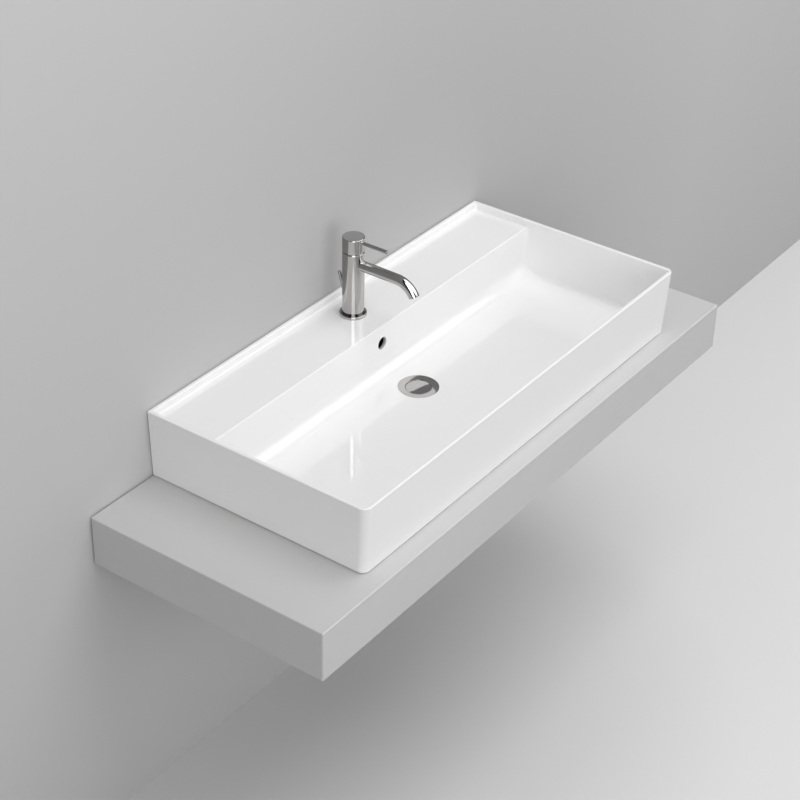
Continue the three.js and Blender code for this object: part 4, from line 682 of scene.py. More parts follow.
class Effects:
    """The effects that several finishes share, each built once as a node group."""

    def __init__(self) -> None:
        """Build the groups."""
        self.mottle = self._mottle()
        self.relief = self._relief()
        self.smudge = self._smudge()
        self.edges = self._wear_and_highlight_edges()
        self.depth = self._duct_shade_mask()

    def _mottle(self) -> bpy.types.NodeTree:
        """A colour that drifts a little over the surface.

        Returns:
            The group.
        """
        graph, given = new_group(
            "mottle",
            [Port("Color", "Color"), Port("Scale", "Float", 4.0), Port("Fine Scale", "Float", 60.0),
             Port("Amount", "Float", 0.05)],
            Port("Color", "Color"))
        place = graph.node("TexCoord").outputs["Object"]
        broad = graph.noise(place, given["Scale"], 3.0)
        fine = graph.noise(place, given["Fine Scale"], 2.0)
        centred = graph.calc("SUBTRACT", graph.calc("ADD", broad, fine), 1.0)
        gain = graph.calc("MULTIPLY_ADD", centred, given["Amount"], 1.0)
        shade = graph.node("VectorMath", {0: given["Color"], "Scale": gain}, operation="SCALE")
        return graph.close(shade.outputs["Vector"])

    def _relief(self) -> bpy.types.NodeTree:
        """A fine relief with a broad waviness under it, as a normal.

        Returns:
            The group.
        """
        graph, given = new_group(
            "relief",
            [Port("Grain Scale", "Float", 900.0), Port("Grain", "Float", 0.00002),
             Port("Wave Scale", "Float", 12.0), Port("Wave", "Float", 0.0)],
            Port("Normal", "Vector"))
        place = graph.node("TexCoord").outputs["Object"]
        grain = graph.noise(place, given["Grain Scale"], 2.0)
        wave = graph.noise(place, given["Wave Scale"], 0.0)
        low = graph.calc("MULTIPLY", wave, given["Wave"])
        height = graph.calc("MULTIPLY_ADD", grain, given["Grain"], low)
        bump = graph.node("Bump", {"Strength": 1.0, "Distance": 1.0, "Height": height})
        return graph.close(bump.outputs["Normal"])

    def _smudge(self) -> bpy.types.NodeTree:
        """A roughness that drifts between two values in soft patches.

        Returns:
            The group.
        """
        graph, given = new_group(
            "smudge",
            [Port("Scale", "Float", 30.0), Port("Clean", "Float", 0.05), Port("Dull", "Float", 0.1)],
            Port("Roughness", "Float"))
        place = graph.node("TexCoord").outputs["Object"]
        patches = graph.noise(place, given["Scale"], 4.0, 0.6)
        return graph.close(graph.span(patches, 0.42, 0.72, given["Clean"], given["Dull"]))

    def _wear_and_highlight_edges(self) -> bpy.types.NodeTree:
        """A mask that is 1 along edges, for wear and a painted edge highlight.

        Returns:
            The group.
        """
        graph, given = new_group(
            "edges",
            [Port("Width", "Float", 0.0008), Port("Breakup Scale", "Float", 150.0)],
            Port("Mask", "Float"))
        place = graph.node("TexCoord").outputs["Object"]
        round_normal = graph.node("Bevel", {"Radius": given["Width"]}, samples=4)
        flat_normal = graph.node("NewGeometry").outputs["Normal"]
        likeness = graph.node("VectorMath", {0: round_normal.outputs["Normal"], 1: flat_normal},
                              operation="DOT_PRODUCT")
        edge = graph.span(likeness.outputs["Value"], 0.995, 0.9)
        broken = graph.span(graph.noise(place, given["Breakup Scale"], 3.0), 0.4, 0.6)
        return graph.close(graph.calc("MULTIPLY", edge, broken))

    def _duct_shade_mask(self) -> bpy.types.NodeTree:
        """A mask for painted shade inside a duct: it grows to 1 from the duct's mouth to its inside.

        Returns:
            The group.
        """
        graph, given = new_group(
            "depth",
            [Port("Half Width", "Float", 0.03), Port("Mouth", "Float", -0.136),
             Port("Deep", "Float", -0.128), Port("Back", "Float", -0.11), Port("Top", "Float", 0.155)],
            Port("Mask", "Float"))
        place = graph.node("SeparateXYZ", {0: graph.node("NewGeometry").outputs["Position"]}).outputs
        mask = graph.span(place["Y"], given["Mouth"], given["Deep"])
        for value, limit in ((place["Y"], "Back"), (graph.calc("ABSOLUTE", place["X"]), "Half Width"),
                             (place["Z"], "Top")):
            mask = graph.calc("MULTIPLY", mask, graph.calc("LESS_THAN", value, given[limit]))
        return graph.close(mask)


@dataclass(frozen=True)
class PaintedDuctShade:
    """Painted shade inside a duct: where it starts, is fully dark and ends along Y, and its top, in
    metres.
    """

    half_width: float
    mouth: float
    deep: float
    back: float
    top: float
    color: Color


@dataclass(frozen=True)
class Finish:
    """A procedural finish: a drifting colour, a drifting gloss and a fine relief, with edges lighter for
    wear and a painted highlight, and painted shade inside a duct where given.
    """

    name: str
    color: Color
    roughness: Span
    mottle: float = 0.03
    fine_scale: float = 80.0
    smudge_scale: float = 25.0
    grain_scale: float = 900.0
    grain: float = 0.00001
    wave_scale: float = 12.0
    wave: float = 0.0
    metallic: float = 0.0
    ior: float = 1.5
    # colour along edges: wear and a painted edge highlight
    edge: Color | None = None
    # painted shade inside a duct, near black by position
    unlit: PaintedDuctShade | None = None

    def make(self, effects: Effects) -> bpy.types.Material:
        """Build the material.

        Args:
            effects: The shared node groups.

        Returns:
            The material.
        """
        material = bpy.data.materials.new(self.name)
        material.use_nodes = True
        tree = material.node_tree
        tree.nodes.clear()
        graph = Graph(tree)
        color = graph.group(effects.mottle, {"Color": (*self.color, 1.0), "Fine Scale": self.fine_scale,
                                             "Amount": self.mottle})
        base = color.outputs["Color"]
        # edges lighter: wear and a painted highlight
        if self.edge is not None:
            mask = graph.group(effects.edges, {})
            base = graph.mix(mask.outputs["Mask"], base, (*self.edge, 1.0))
        # painted shade: the duct's inside turns near black by position
        if self.unlit is not None:
            depth = graph.group(effects.depth,
                                {"Half Width": self.unlit.half_width, "Mouth": self.unlit.mouth,
                                 "Deep": self.unlit.deep, "Back": self.unlit.back,
                                 "Top": self.unlit.top})
            base = graph.mix(depth.outputs["Mask"], base, (*self.unlit.color, 1.0))
        gloss = graph.group(effects.smudge, {"Scale": self.smudge_scale, "Clean": self.roughness[0],
                                             "Dull": self.roughness[1]})
        relief = graph.group(effects.relief, {"Grain Scale": self.grain_scale, "Grain": self.grain,
                                              "Wave Scale": self.wave_scale, "Wave": self.wave})
        shader = graph.node("BsdfPrincipled", {
            "Base Color": base, "Roughness": gloss.outputs["Roughness"],
            "Normal": relief.outputs["Normal"], "Metallic": self.metallic, "IOR": self.ior})
        tree.links.new(shader.outputs["BSDF"], graph.node("OutputMaterial").inputs["Surface"])
        return material


FINISHES = {
    # the china paints the overflow duct's inside near black: painted shade
    Slot.CHINA: Finish("glazed_china", (0.9, 0.9, 0.9), (0.03, 0.06), mottle=0.012, smudge_scale=9.0,
                       grain_scale=700.0, grain=0.0000008, wave_scale=7.0, wave=0.00001,
                       unlit=PaintedDuctShade(0.0285, -0.1368, -0.1265, -0.1135, 0.1525, (0.02, 0.02, 0.02))),
    Slot.LACQUER: Finish("grey_lacquer", (0.585, 0.585, 0.583), (0.42, 0.52), mottle=0.02,
                         grain_scale=1400.0, grain=0.000012, edge=(0.64, 0.64, 0.635)),
    Slot.BOARD: Finish("bare_board", (0.42, 0.36, 0.28), (0.75, 0.9), mottle=0.25, fine_scale=260.0,
                       grain_scale=700.0, grain=0.00008, edge=(0.5, 0.43, 0.34)),
    Slot.STEEL: Finish("zinc_steel", (0.52, 0.53, 0.54), (0.28, 0.45), mottle=0.15, fine_scale=45.0,
                       grain_scale=500.0, grain=0.00002, metallic=0.7, edge=(0.7, 0.71, 0.72)),
    Slot.CHROME: Finish("polished_chrome", (0.475, 0.465, 0.46), (0.045, 0.075), mottle=0.02,
                        smudge_scale=35.0, grain_scale=900.0, grain=0.0000015, metallic=1.0),
    Slot.BRASS: Finish("plain_brass", (0.72, 0.53, 0.24), (0.22, 0.36), mottle=0.12, fine_scale=90.0,
                       grain_scale=600.0, grain=0.00001, metallic=1.0, edge=(0.86, 0.68, 0.36)),
    Slot.RUBBER: Finish("black_rubber", (0.022, 0.022, 0.023), (0.6, 0.8), mottle=0.3,
                        grain_scale=900.0, grain=0.00004),
    Slot.NYLON: Finish("white_acetal", (0.8, 0.79, 0.74), (0.35, 0.5), mottle=0.04, grain_scale=700.0,
                       grain=0.00001),
    Slot.SILICONE: Finish("white_sealant", (0.72, 0.72, 0.71), (0.4, 0.55), mottle=0.05,
                          grain_scale=400.0, grain=0.00003),
}
# glossy black that stands in for the shade round the tap's foot: painted shade
SHADE_BLACK = Finish("gloss_plastic", (0.008, 0.008, 0.008), (0.05, 0.08), mottle=0.05,
                       grain_scale=900.0, grain=0.0000015, ior=1.6)


class Workshop:
    """Holds the materials and hands pieces over to the frame."""

    def __init__(self) -> None:
        """Build every finish once."""
        effects = Effects()
        self.materials = {slot: finish.make(effects) for slot, finish in FINISHES.items()}
        self.shade_black = SHADE_BLACK.make(effects)
        self.slots = {row["node"]: Slot(row["material_slot"]) for row in frame["record"]["subparts"]}

    def hand_over(self, piece: Piece, node: str, crease: float = 32.0) -> None:
        """Finish a piece that stands for a CAD node, and let it ride on that node's body.

        Args:
            piece: The piece.
            node: The CAD node that it replaces and takes its slot from.
            crease: Angle from which its edges stay sharp.
        """
        settle(piece, crease)
        slot = self.slots[node]
        piece.data.materials.clear()
        piece.data.materials.append(self.materials[slot])
        body = frame["nodes"][node]["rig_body"]
        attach(piece, body)
        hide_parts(node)
        LOG.info("%s stands for %s on %s, %d faces", piece.name, node, body, len(piece.data.polygons))

    def blacken_as_shade(self, piece: Piece, level: float) -> None:
        """Paint the part of a piece above a level glossy black, as painted shade.

        Args:
            piece: The piece, handed over already.
            level: The level in millimetres.
        """
        piece.data.materials.append(self.shade_black)
        bpy.context.view_layer.update()
        for face in piece.data.polygons:
            if (piece.matrix_world @ face.center).z > level * MM:
                face.material_index = 1

    def dress_nodes(self) -> None:
        """Give every CAD node that still shows its slot's material."""
        for name, node in frame["nodes"].items():
            if node.hide_render:
                continue
            node.data.materials.clear()
            node.data.materials.append(self.materials[self.slots[name]])
            LOG.info("%s keeps its CAD shape", name)


# ---------------------------------------- shelf


@dataclass
class Shelf:
    """The slab shelf: a lacquered shell, the panel let in below it, and its screws."""

    shop: Workshop
    wall: float = 20.0
    corner: float = 3.0
    edge: float = 2.6
    cutout_round: float = 20.0
    cutout: tuple[float, float, float] = (90.0, -275.0, -40.0)
    service: tuple[float, float, float] = (110.0, -330.0, -30.0)
    screw_y: float = -330.0
    screw_head: float = 12.0
    screw_shank: float = 6.0
    socket: float = 5.0
    arm_wall: float = 3.0
    slot_length: float = 26.0
    slot_width: float = 10.0
    slot_offset: float = 80.0

    def build(self) -> None:
        """Build the pieces that show."""
        self._shell()
        self._panel()
        for number in range(1, 5):
            self._screw(number)
            self._arm(number)
        for side in ("left", "right"):
            low, high = cad_box(f"shelf_rib_{side}")
            self.shop.hand_over(slab(f"shelf_divider_{side}", low, high, 0.8, 0.8), f"shelf_rib_{side}")
        self._rail()

    def _arm(self, number: int) -> None:
        """A rectangular tube out of the rail, with rounded edges.

        Args:
            number: The arm's number, from 1.
        """
        node = f"carrier_arm_{number}"
        low, high = cad_box(node)
        middle = (low.x + high.x) / 2
        rings = []
        for inset, radius, ends in ((0.0, 4.0, (0.0, 1.0)), (self.arm_wall, 1.5, (1.0, 0.0))):
            outline = rounded_outline(low.x + inset, high.x - inset, low.z + inset, high.z - inset,
                                      radius, radius, 6)
            rings += [[(x, low.y + (high.y - low.y) * end, z) for x, z in outline] for end in ends]
        arm = skin(f"shelf_arm_{number}", rings, ends=False)
        carve(arm,
              rod("tapping", (middle, self.screw_y, low.z - 1), (middle, self.screw_y, low.z + 5), 6.6))
        self.shop.hand_over(arm, node)

    def _rail(self) -> None:
        """The rail on the wall with its four slots."""
        low, high = cad_box("wall_rail")
        rail = slab("shelf_wall_plate", low, high, 0.6, 0.6)
        half, run = self.slot_width / 2, (self.slot_length - self.slot_width) / 2
        for number in range(1, 5):
            side = -1 if number < 3 else 1
            toward = self.slot_offset * side * (1 if number in (2, 3) else -1)
            x = self._screw_x(number) + toward
            outline = [*arc((x + run, 0), half, -90, 90, 16), *arc((x - run, 0), half, 90, 270, 16)]
            slot = [[(a, y, b) for a, b in outline] for y in (low.y - 1, high.y + 1)]
            carve(rail, skin("slot", slot))
        self.shop.hand_over(rail, "wall_rail")

    def _opening(self, name: str, size: tuple[float, float, float], low: float, high: float) -> Piece:
        """A cutter for a rounded opening.

        Args:
            name: The cutter's name.
            size: Half width, front and back.
            low: Its lowest level.
            high: Its highest level.

        Returns:
            The cutter.
        """
        half, front, back = size
        outline = rounded_outline(-half, half, front, back, self.cutout_round, self.cutout_round)
        return skin(name, [[(x, y, z) for x, y in outline] for z in (low, high)])

    def _shell(self) -> None:
        """The shell: top, front and ends in one, with eased edges."""
        low, high = cad_box("shelf_shell")

        def ring(inset: float, level: float) -> list[Point]:
            """The outline, pulled in, at a level."""
            outline = rounded_outline(low.x + inset, high.x - inset, low.y + inset, high.y,
                                      max(self.corner - inset, 0.4), 0.6)
            return [(x, y, level) for x, y in outline]

        rounds = quarter(self.edge, 6)
        rings = [ring(inward, low.z + self.edge - along) for inward, along in reversed(rounds)]
        rings += [ring(inward, high.z - self.edge + along) for inward, along in rounds]
        shell = skin("shelf_lacquered_shell", rings)
        hollow = block("hollow", (low.x + self.wall, low.y + self.wall, low.z - 1),
                       (high.x - self.wall, high.y + 1, high.z - self.wall))
        top = self._opening("cutout", self.cutout, high.z - self.wall - 1, high.z + 1)
        carve(shell, hollow, top)
        self.shop.hand_over(shell, "shelf_shell")

    def _panel(self) -> None:
        """The bottom panel with its service opening and countersunk screw places."""
        low, high = cad_box("shelf_bottom_panel")
        panel = slab("shelf_bottom_board", low, high, 0.8, 0.8)
        cutters = [self._opening("service", self.service, low.z - 1, high.z + 1)]
        for number in range(1, 5):
            x = self._screw_x(number)
            cutters.append(rod("hole", (x, self.screw_y, low.z - 1), (x, self.screw_y, high.z + 1),
                               self.screw_shank + 0.6))
            cutters.append(rod("seat", (x, self.screw_y, low.z - 1), (x, self.screw_y, low.z + 4.3),
                               self.screw_head + 2))
        carve(panel, *cutters)
        self.shop.hand_over(panel, "shelf_bottom_panel")

    def _screw_x(self, number: int) -> float:
        """Where a screw stands across the shelf.

        Args:
            number: The screw's number, from 1.

        Returns:
            Its x.
        """
        low, high = cad_box(f"shelf_screw_{number}")
        return (low.x + high.x) / 2

    def _screw(self, number: int) -> None:
        """A socket screw with an eased head.

        Args:
            number: The screw's number, from 1.
        """
        node = f"shelf_screw_{number}"
        low, high = cad_box(node)
        head, shank = self.screw_head / 2, self.screw_shank / 2
        neck = low.z + 3.5
        profile = eased([(0, low.z, 0), (head, low.z, 0.8), (head, neck, 0.2), (shank, neck, 0),
                         (shank, high.z - 1, 0), (shank - 1, high.z, 0), (0, high.z, 0)])
        x = self._screw_x(number)
        screw = turned(f"shelf_socket_screw_{number}", profile, (x, self.screw_y, 0),
                       sides=Sides.SMALL)
        key = hex_bar("key", Vector((x, self.screw_y, low.z - 1)), (0, 0, 1), self.socket, 3)
        carve(screw, key)
        self.shop.hand_over(screw, node)


# ---------------------------------------- basin


@dataclass
class Basin:
    """The china basin: a tap ledge, a bowl with a deep fillet at its back, and a webbed underside."""

    shop: Workshop
    half_width: float = 500.0
    reach: float = 475.0
    side_draft: float = 5.0
    front_draft: float = 6.0
    front_corner: float = 15.0
    back_corner: float = 3.0
    rim: float = 7.5
    rim_round: float = 2.2
    groove: float = 2.9
    groove_height: float = 0.9
    groove_lip: float = 0.5
    bead_inset: float = 2.5
    inner_draft: float = 5.0
    inner_corner: float = 6.0
    ledge_height: float = 122.5
    ledge_front: float = 137.0
    ledge_back: float = 9.0
    ledge_fillet: float = 2.5
    ledge_nose: float = 1.8
    floor_height: float = 21.5
    floor_fall: float = 1.2
    back_fillet: float = 30.0
    side_fillet: float = 6.0
    china: float = 11.0
    skirt: float = 12.0
    web_offset: float = 175.0
    web_thickness: float = 12.0
    tap_y: float = -66.8
    tap_hole: float = 35.0
    drain_y: float = -222.0
    drain_hole: float = 46.0
    boss: float = 80.0
    relief: float = 1.0
    flange: float = 78.0
    overflow: float = 25.0
    overflow_height: float = 83.0
    overflow_mouth: float = 1.6
    duct_width: float = 56.0
    duct_depth: float = 15.0
    duct_face: float = 7.5
    duct_leg: Span = (3.5, 8.0)
    duct_wall: float = 6.0
    low: Vector = field(default_factory=Vector)
    high: Vector = field(default_factory=Vector)

    def build(self) -> None:
        """Build the basin and the bead under it."""
        self.low, self.high = cad_box("basin")
        basin = self._outside()
        for cutter in (self._above_ledge(), self._bowl(), self._underside()):
            carve(basin, cutter)
        carve(basin, *self._duct(0.0))
        carve(basin, *self._holes())
        self.shop.hand_over(basin, "basin", crease=28.0)
        self._bead()

    @property
    def height(self) -> float:
        """The basin's own height."""
        return self.high.z - self.low.z

    @property
    def drain_z(self) -> float:
        """Level of the bowl floor at the waste."""
        return self.low.z + self.floor_height - self.floor_fall

    def _outer(self, height: float, inset: float = 0.0) -> list[Point]:
        """Outline of the outside.

        Args:
            height: Height above the underside.
            inset: How far it is pulled in.

        Returns:
            The outline's points.
        """
        rise = 1 - height / self.height
        half = self.half_width - self.side_draft * rise - inset
        front = -(self.reach - self.front_draft * rise) + inset
        outline = rounded_outline(-half, half, front, self.high.y - inset,
                                  max(self.front_corner - inset, 0.5),
                                  max(self.back_corner - inset, 0.5), 14)
        return [(x, y, self.low.z + height) for x, y in outline]

    def _inner(self, height: float, back: float, inset: float = 0.0,
               back_inset: float = 0.0) -> list[Point]:
        """Outline of the inside.

        Args:
            height: Height above the underside.
            back: Distance of the back edge from the wall.
            inset: How far the front and sides are pulled in.
            back_inset: How far the back is pulled forwards.

        Returns:
            The outline's points.
        """
        drop = (self.height - height) / self.height
        half = self.half_width - self.rim - self.inner_draft * drop - inset
        front = -(self.reach - self.rim - self.inner_draft * drop) + inset
        outline = rounded_outline(-half, half, front, -back - back_inset, self.inner_corner,
                                  self.inner_corner, 14, (40, 14))
        return [(x, y, self.low.z + height) for x, y in outline]

    def _outside(self) -> Piece:
        """The outside as one block with an eased rim and a shadow groove round its foot.

        Returns:
            The block.
        """
        rings = [self._outer(0.0, self.groove), self._outer(self.groove_height, self.groove),
                 self._outer(self.groove_height, self.groove_lip),
                 self._outer(self.groove_height + 0.4)]
        for inward, along in quarter(self.rim_round, 8):
            rings.append(self._outer(self.height - self.rim_round + along, inward))
        return skin("basin_china", rings)

    def _above_ledge(self) -> Piece:
        """The space above the ledge, with its fillet at the back and the round of the rim.

        Returns:
            The cutter.
        """
        rings = []
        for inward, along in reversed(quarter(self.ledge_fillet, 10)):
            height = self.ledge_height + self.ledge_fillet - along
            rings.append(self._inner(height, self.ledge_back, 0, inward))
        for inward, along in quarter(self.rim_round, 8):
            height = self.height - self.rim_round + along
            rings.append(self._inner(height, self.ledge_back, -inward, -inward))
        rings.append(self._inner(self.height + 1, self.ledge_back, -self.rim_round, -self.rim_round))
        return skin("above_ledge", rings)

    def _floor(self) -> list[list[Point]]:
        """Rings of the bowl floor, from round the waste out to the fillets, falling to the waste.

        Returns:
            The rings.
        """
        foot = self._inner(self.floor_height, self.ledge_front, self.side_fillet, self.back_fillet)
        drain = Vector((0, self.drain_y))
        rings = []
        for step in range(17):
            share = step / 16
            ring = []
            for x, y, z in foot:
                edge = Vector((x, y))
                start = drain + (edge - drain).normalized() * (self.flange / 2 - 4)
                place = start.lerp(edge, share ** 1.5)
                ring.append((place.x, place.y, z - self.floor_fall * (1 - share) ** 1.6))
            rings.append(ring)
        return rings

    def _bowl(self) -> Piece:
        """The bowl: its fillets are deeper at the back than at the front and sides.

        Returns:
            The cutter.
        """
        def fillet(radius: float, height: float) -> float:
            """How far a fillet stands out at a height."""
            return radius - math.sqrt(radius ** 2 - (radius - height) ** 2) if height < radius else 0.0

        levels = {round(self.back_fillet - along, 4) for _, along in quarter(self.back_fillet, 20)}
        levels |= {round(self.side_fillet - along, 4) for _, along in quarter(self.side_fillet, 10)}
        rings = self._floor()
        for level in sorted(levels)[1:]:
            rings.append(self._inner(self.floor_height + level, self.ledge_front,
                                     fillet(self.side_fillet, level), fillet(self.back_fillet, level)))
        for inward, along in quarter(self.ledge_nose, 8):
            rings.append(self._inner(self.ledge_height - self.ledge_nose + along, self.ledge_front, 0,
                                     -inward))
        rings.append(self._inner(self.ledge_height + self.ledge_nose, self.ledge_front, 1, 1))
        return skin("bowl", rings)

    def _duct(self, grow: float) -> list[Piece]:
        """The overflow duct behind the bowl and its leg below the floor.

        Args:
            grow: How far its walls stand out; 0 gives the space inside.

        Returns:
            The shaft and the leg.
        """
        half = self.duct_width / 2 + grow
        front = -self.ledge_front + self.duct_face
        back = front + self.duct_depth + grow
        base = max(self.low.z + self.duct_leg[0] - grow, self.low.z + self.relief)
        top = self.low.z + self.overflow_height + self.overflow / 2 + 4 + grow
        shaft = block("shaft", (-half, front - grow, base), (half, back, top))
        leg = block("leg", (-half, self.drain_y, base),
                    (half, back, self.low.z + self.duct_leg[1] + grow))
        return [shaft, leg]

    def _underside(self) -> Piece:
        """What the underside is hollowed by, round its webs, the duct and the waste's boss.

        Returns:
            The cutter.
        """
        half = self.half_width - self.side_draft - self.skirt
        back = self.high.y - self.china
        front = -(self.reach - self.front_draft - self.skirt)
        bowl_back = -self.ledge_front + self.china
        ledge_under = self.low.z + self.ledge_height - self.china
        floor_under = self.low.z + self.floor_height - self.china
        below = self.low.z - 1
        hollow = block("hollow", (-half, bowl_back, below), (half, back, ledge_under))
        carve(hollow, block("under", (-half, front, below), (half, bowl_back + 1, floor_under)),
              operation="UNION")
        kept = [rod("boss", (0, self.drain_y, self.low.z + self.relief),
                    (0, self.drain_y, floor_under + 1), self.boss, Sides.MEDIUM)]
        for side in (-1, 1):
            middle = side * self.web_offset
            kept.append(block("web", (middle - self.web_thickness / 2, front - 1, below - 1),
                              (middle + self.web_thickness / 2, back + 1, ledge_under + 1)))
        return carve(hollow, *kept, *self._duct(self.duct_wall))

    def _holes(self) -> list[Piece]:
        """Cutters for the tap hole, the overflow and the waste's seat.

        Returns:
            The cutters.
        """
        ledge = self.low.z + self.ledge_height
        tap = rod("tap_hole", (0, self.tap_y, ledge - 2 * self.china), (0, self.tap_y, ledge + 1),
                  self.tap_hole, Sides.MEDIUM)
        radius, mouth = self.overflow / 2, self.overflow_mouth
        flare = [(radius + mouth * (1 - math.sin(a)), mouth * (1 - math.cos(a)))
                 for a in (math.radians(90 * i / 10) for i in range(11))]
        overflow = turned("overflow_hole",
                          [(0, -mouth), (radius + mouth, -mouth), *flare, (radius, self.china),
                           (0, self.china)], (0, -self.ledge_front, self.low.z + self.overflow_height),
                          (0, 1, 0))
        below = self.low.z - 1 - self.drain_z
        lip = self.flange / 2 + 0.3
        seat = turned("seat", [(0, below), (self.drain_hole / 2, below), (self.drain_hole / 2, -10.2),
                               (27.0, -10.2), (27.0, -7.5), (lip, -0.3), (lip, self.floor_fall + 1),
                               (0, self.floor_fall + 1)], (0, self.drain_y, self.drain_z))
        return [tap, overflow, seat]

    def _bead(self) -> None:
        """The bead of sealant under the basin's edge, hollow on its outside."""
        low, high = cad_box("sealant_bead")
        width, dip, inset = 6.0, 0.3, self.bead_inset
        levels = [(low.z, inset), (low.z + 0.3, inset + dip * 0.8), (low.z + 0.5, inset + dip),
                  (low.z + 0.7, inset + dip * 0.8), (high.z, inset), (high.z, inset + width),
                  (low.z, inset + width)]
        rings = [[(x, y, level) for x, y, _ in self._outer(0.0, pulled)] for level, pulled in levels]
        self.shop.hand_over(skin("sealant_line", rings, ends=False), "sealant_bead")


# ---------------------------------------- tap


@dataclass(frozen=True)
class Line:
    """A line that pieces are turned on."""

    start: Vector
    axis: Vector

    def at(self, distance: float) -> Vector:
        """The point at a distance along the line."""
        return self.start + self.axis * distance


@dataclass
class SpoutPath:
    """The spout's middle line: straight out of the body, then round a bend."""

    straight: float = 100.0
    bend: float = 45.0
    angle: float = 62.0

    @property
    def length(self) -> float:
        """Distance from the tap's axis to the outlet."""
        return self.straight + self.bend * math.radians(self.angle)

    def ring(self, distance: float, radius: float, centre: Vector, sides: int) -> list[Vector]:
        """A ring square to the path.

        Args:
            distance: Distance along the path from the tap's axis.
            radius: The ring's radius.
            centre: Where the path starts.
            sides: Number of points.

        Returns:
            The ring's points.
        """
        turn = max(distance - self.straight, 0.0) / self.bend
        run = min(distance, self.straight) + self.bend * math.sin(turn)
        middle = centre + Vector((0, -run, -self.bend * (1 - math.cos(turn))))
        up = Vector((0, -math.sin(turn), math.cos(turn)))
        return [middle + Vector((radius * a, 0, 0)) + up * radius * b for a, b in around(sides)]

    def outlet(self, centre: Vector) -> Line:
        """The line from the outlet back up the spout.

        Args:
            centre: Where the path starts.

        Returns:
            The line.
        """
        turn = math.radians(self.angle)
        end = centre + Vector((0, -self.straight - self.bend * math.sin(turn),
                               -self.bend * (1 - math.cos(turn))))
        return Line(end, Vector((0, math.cos(turn), math.sin(turn))))


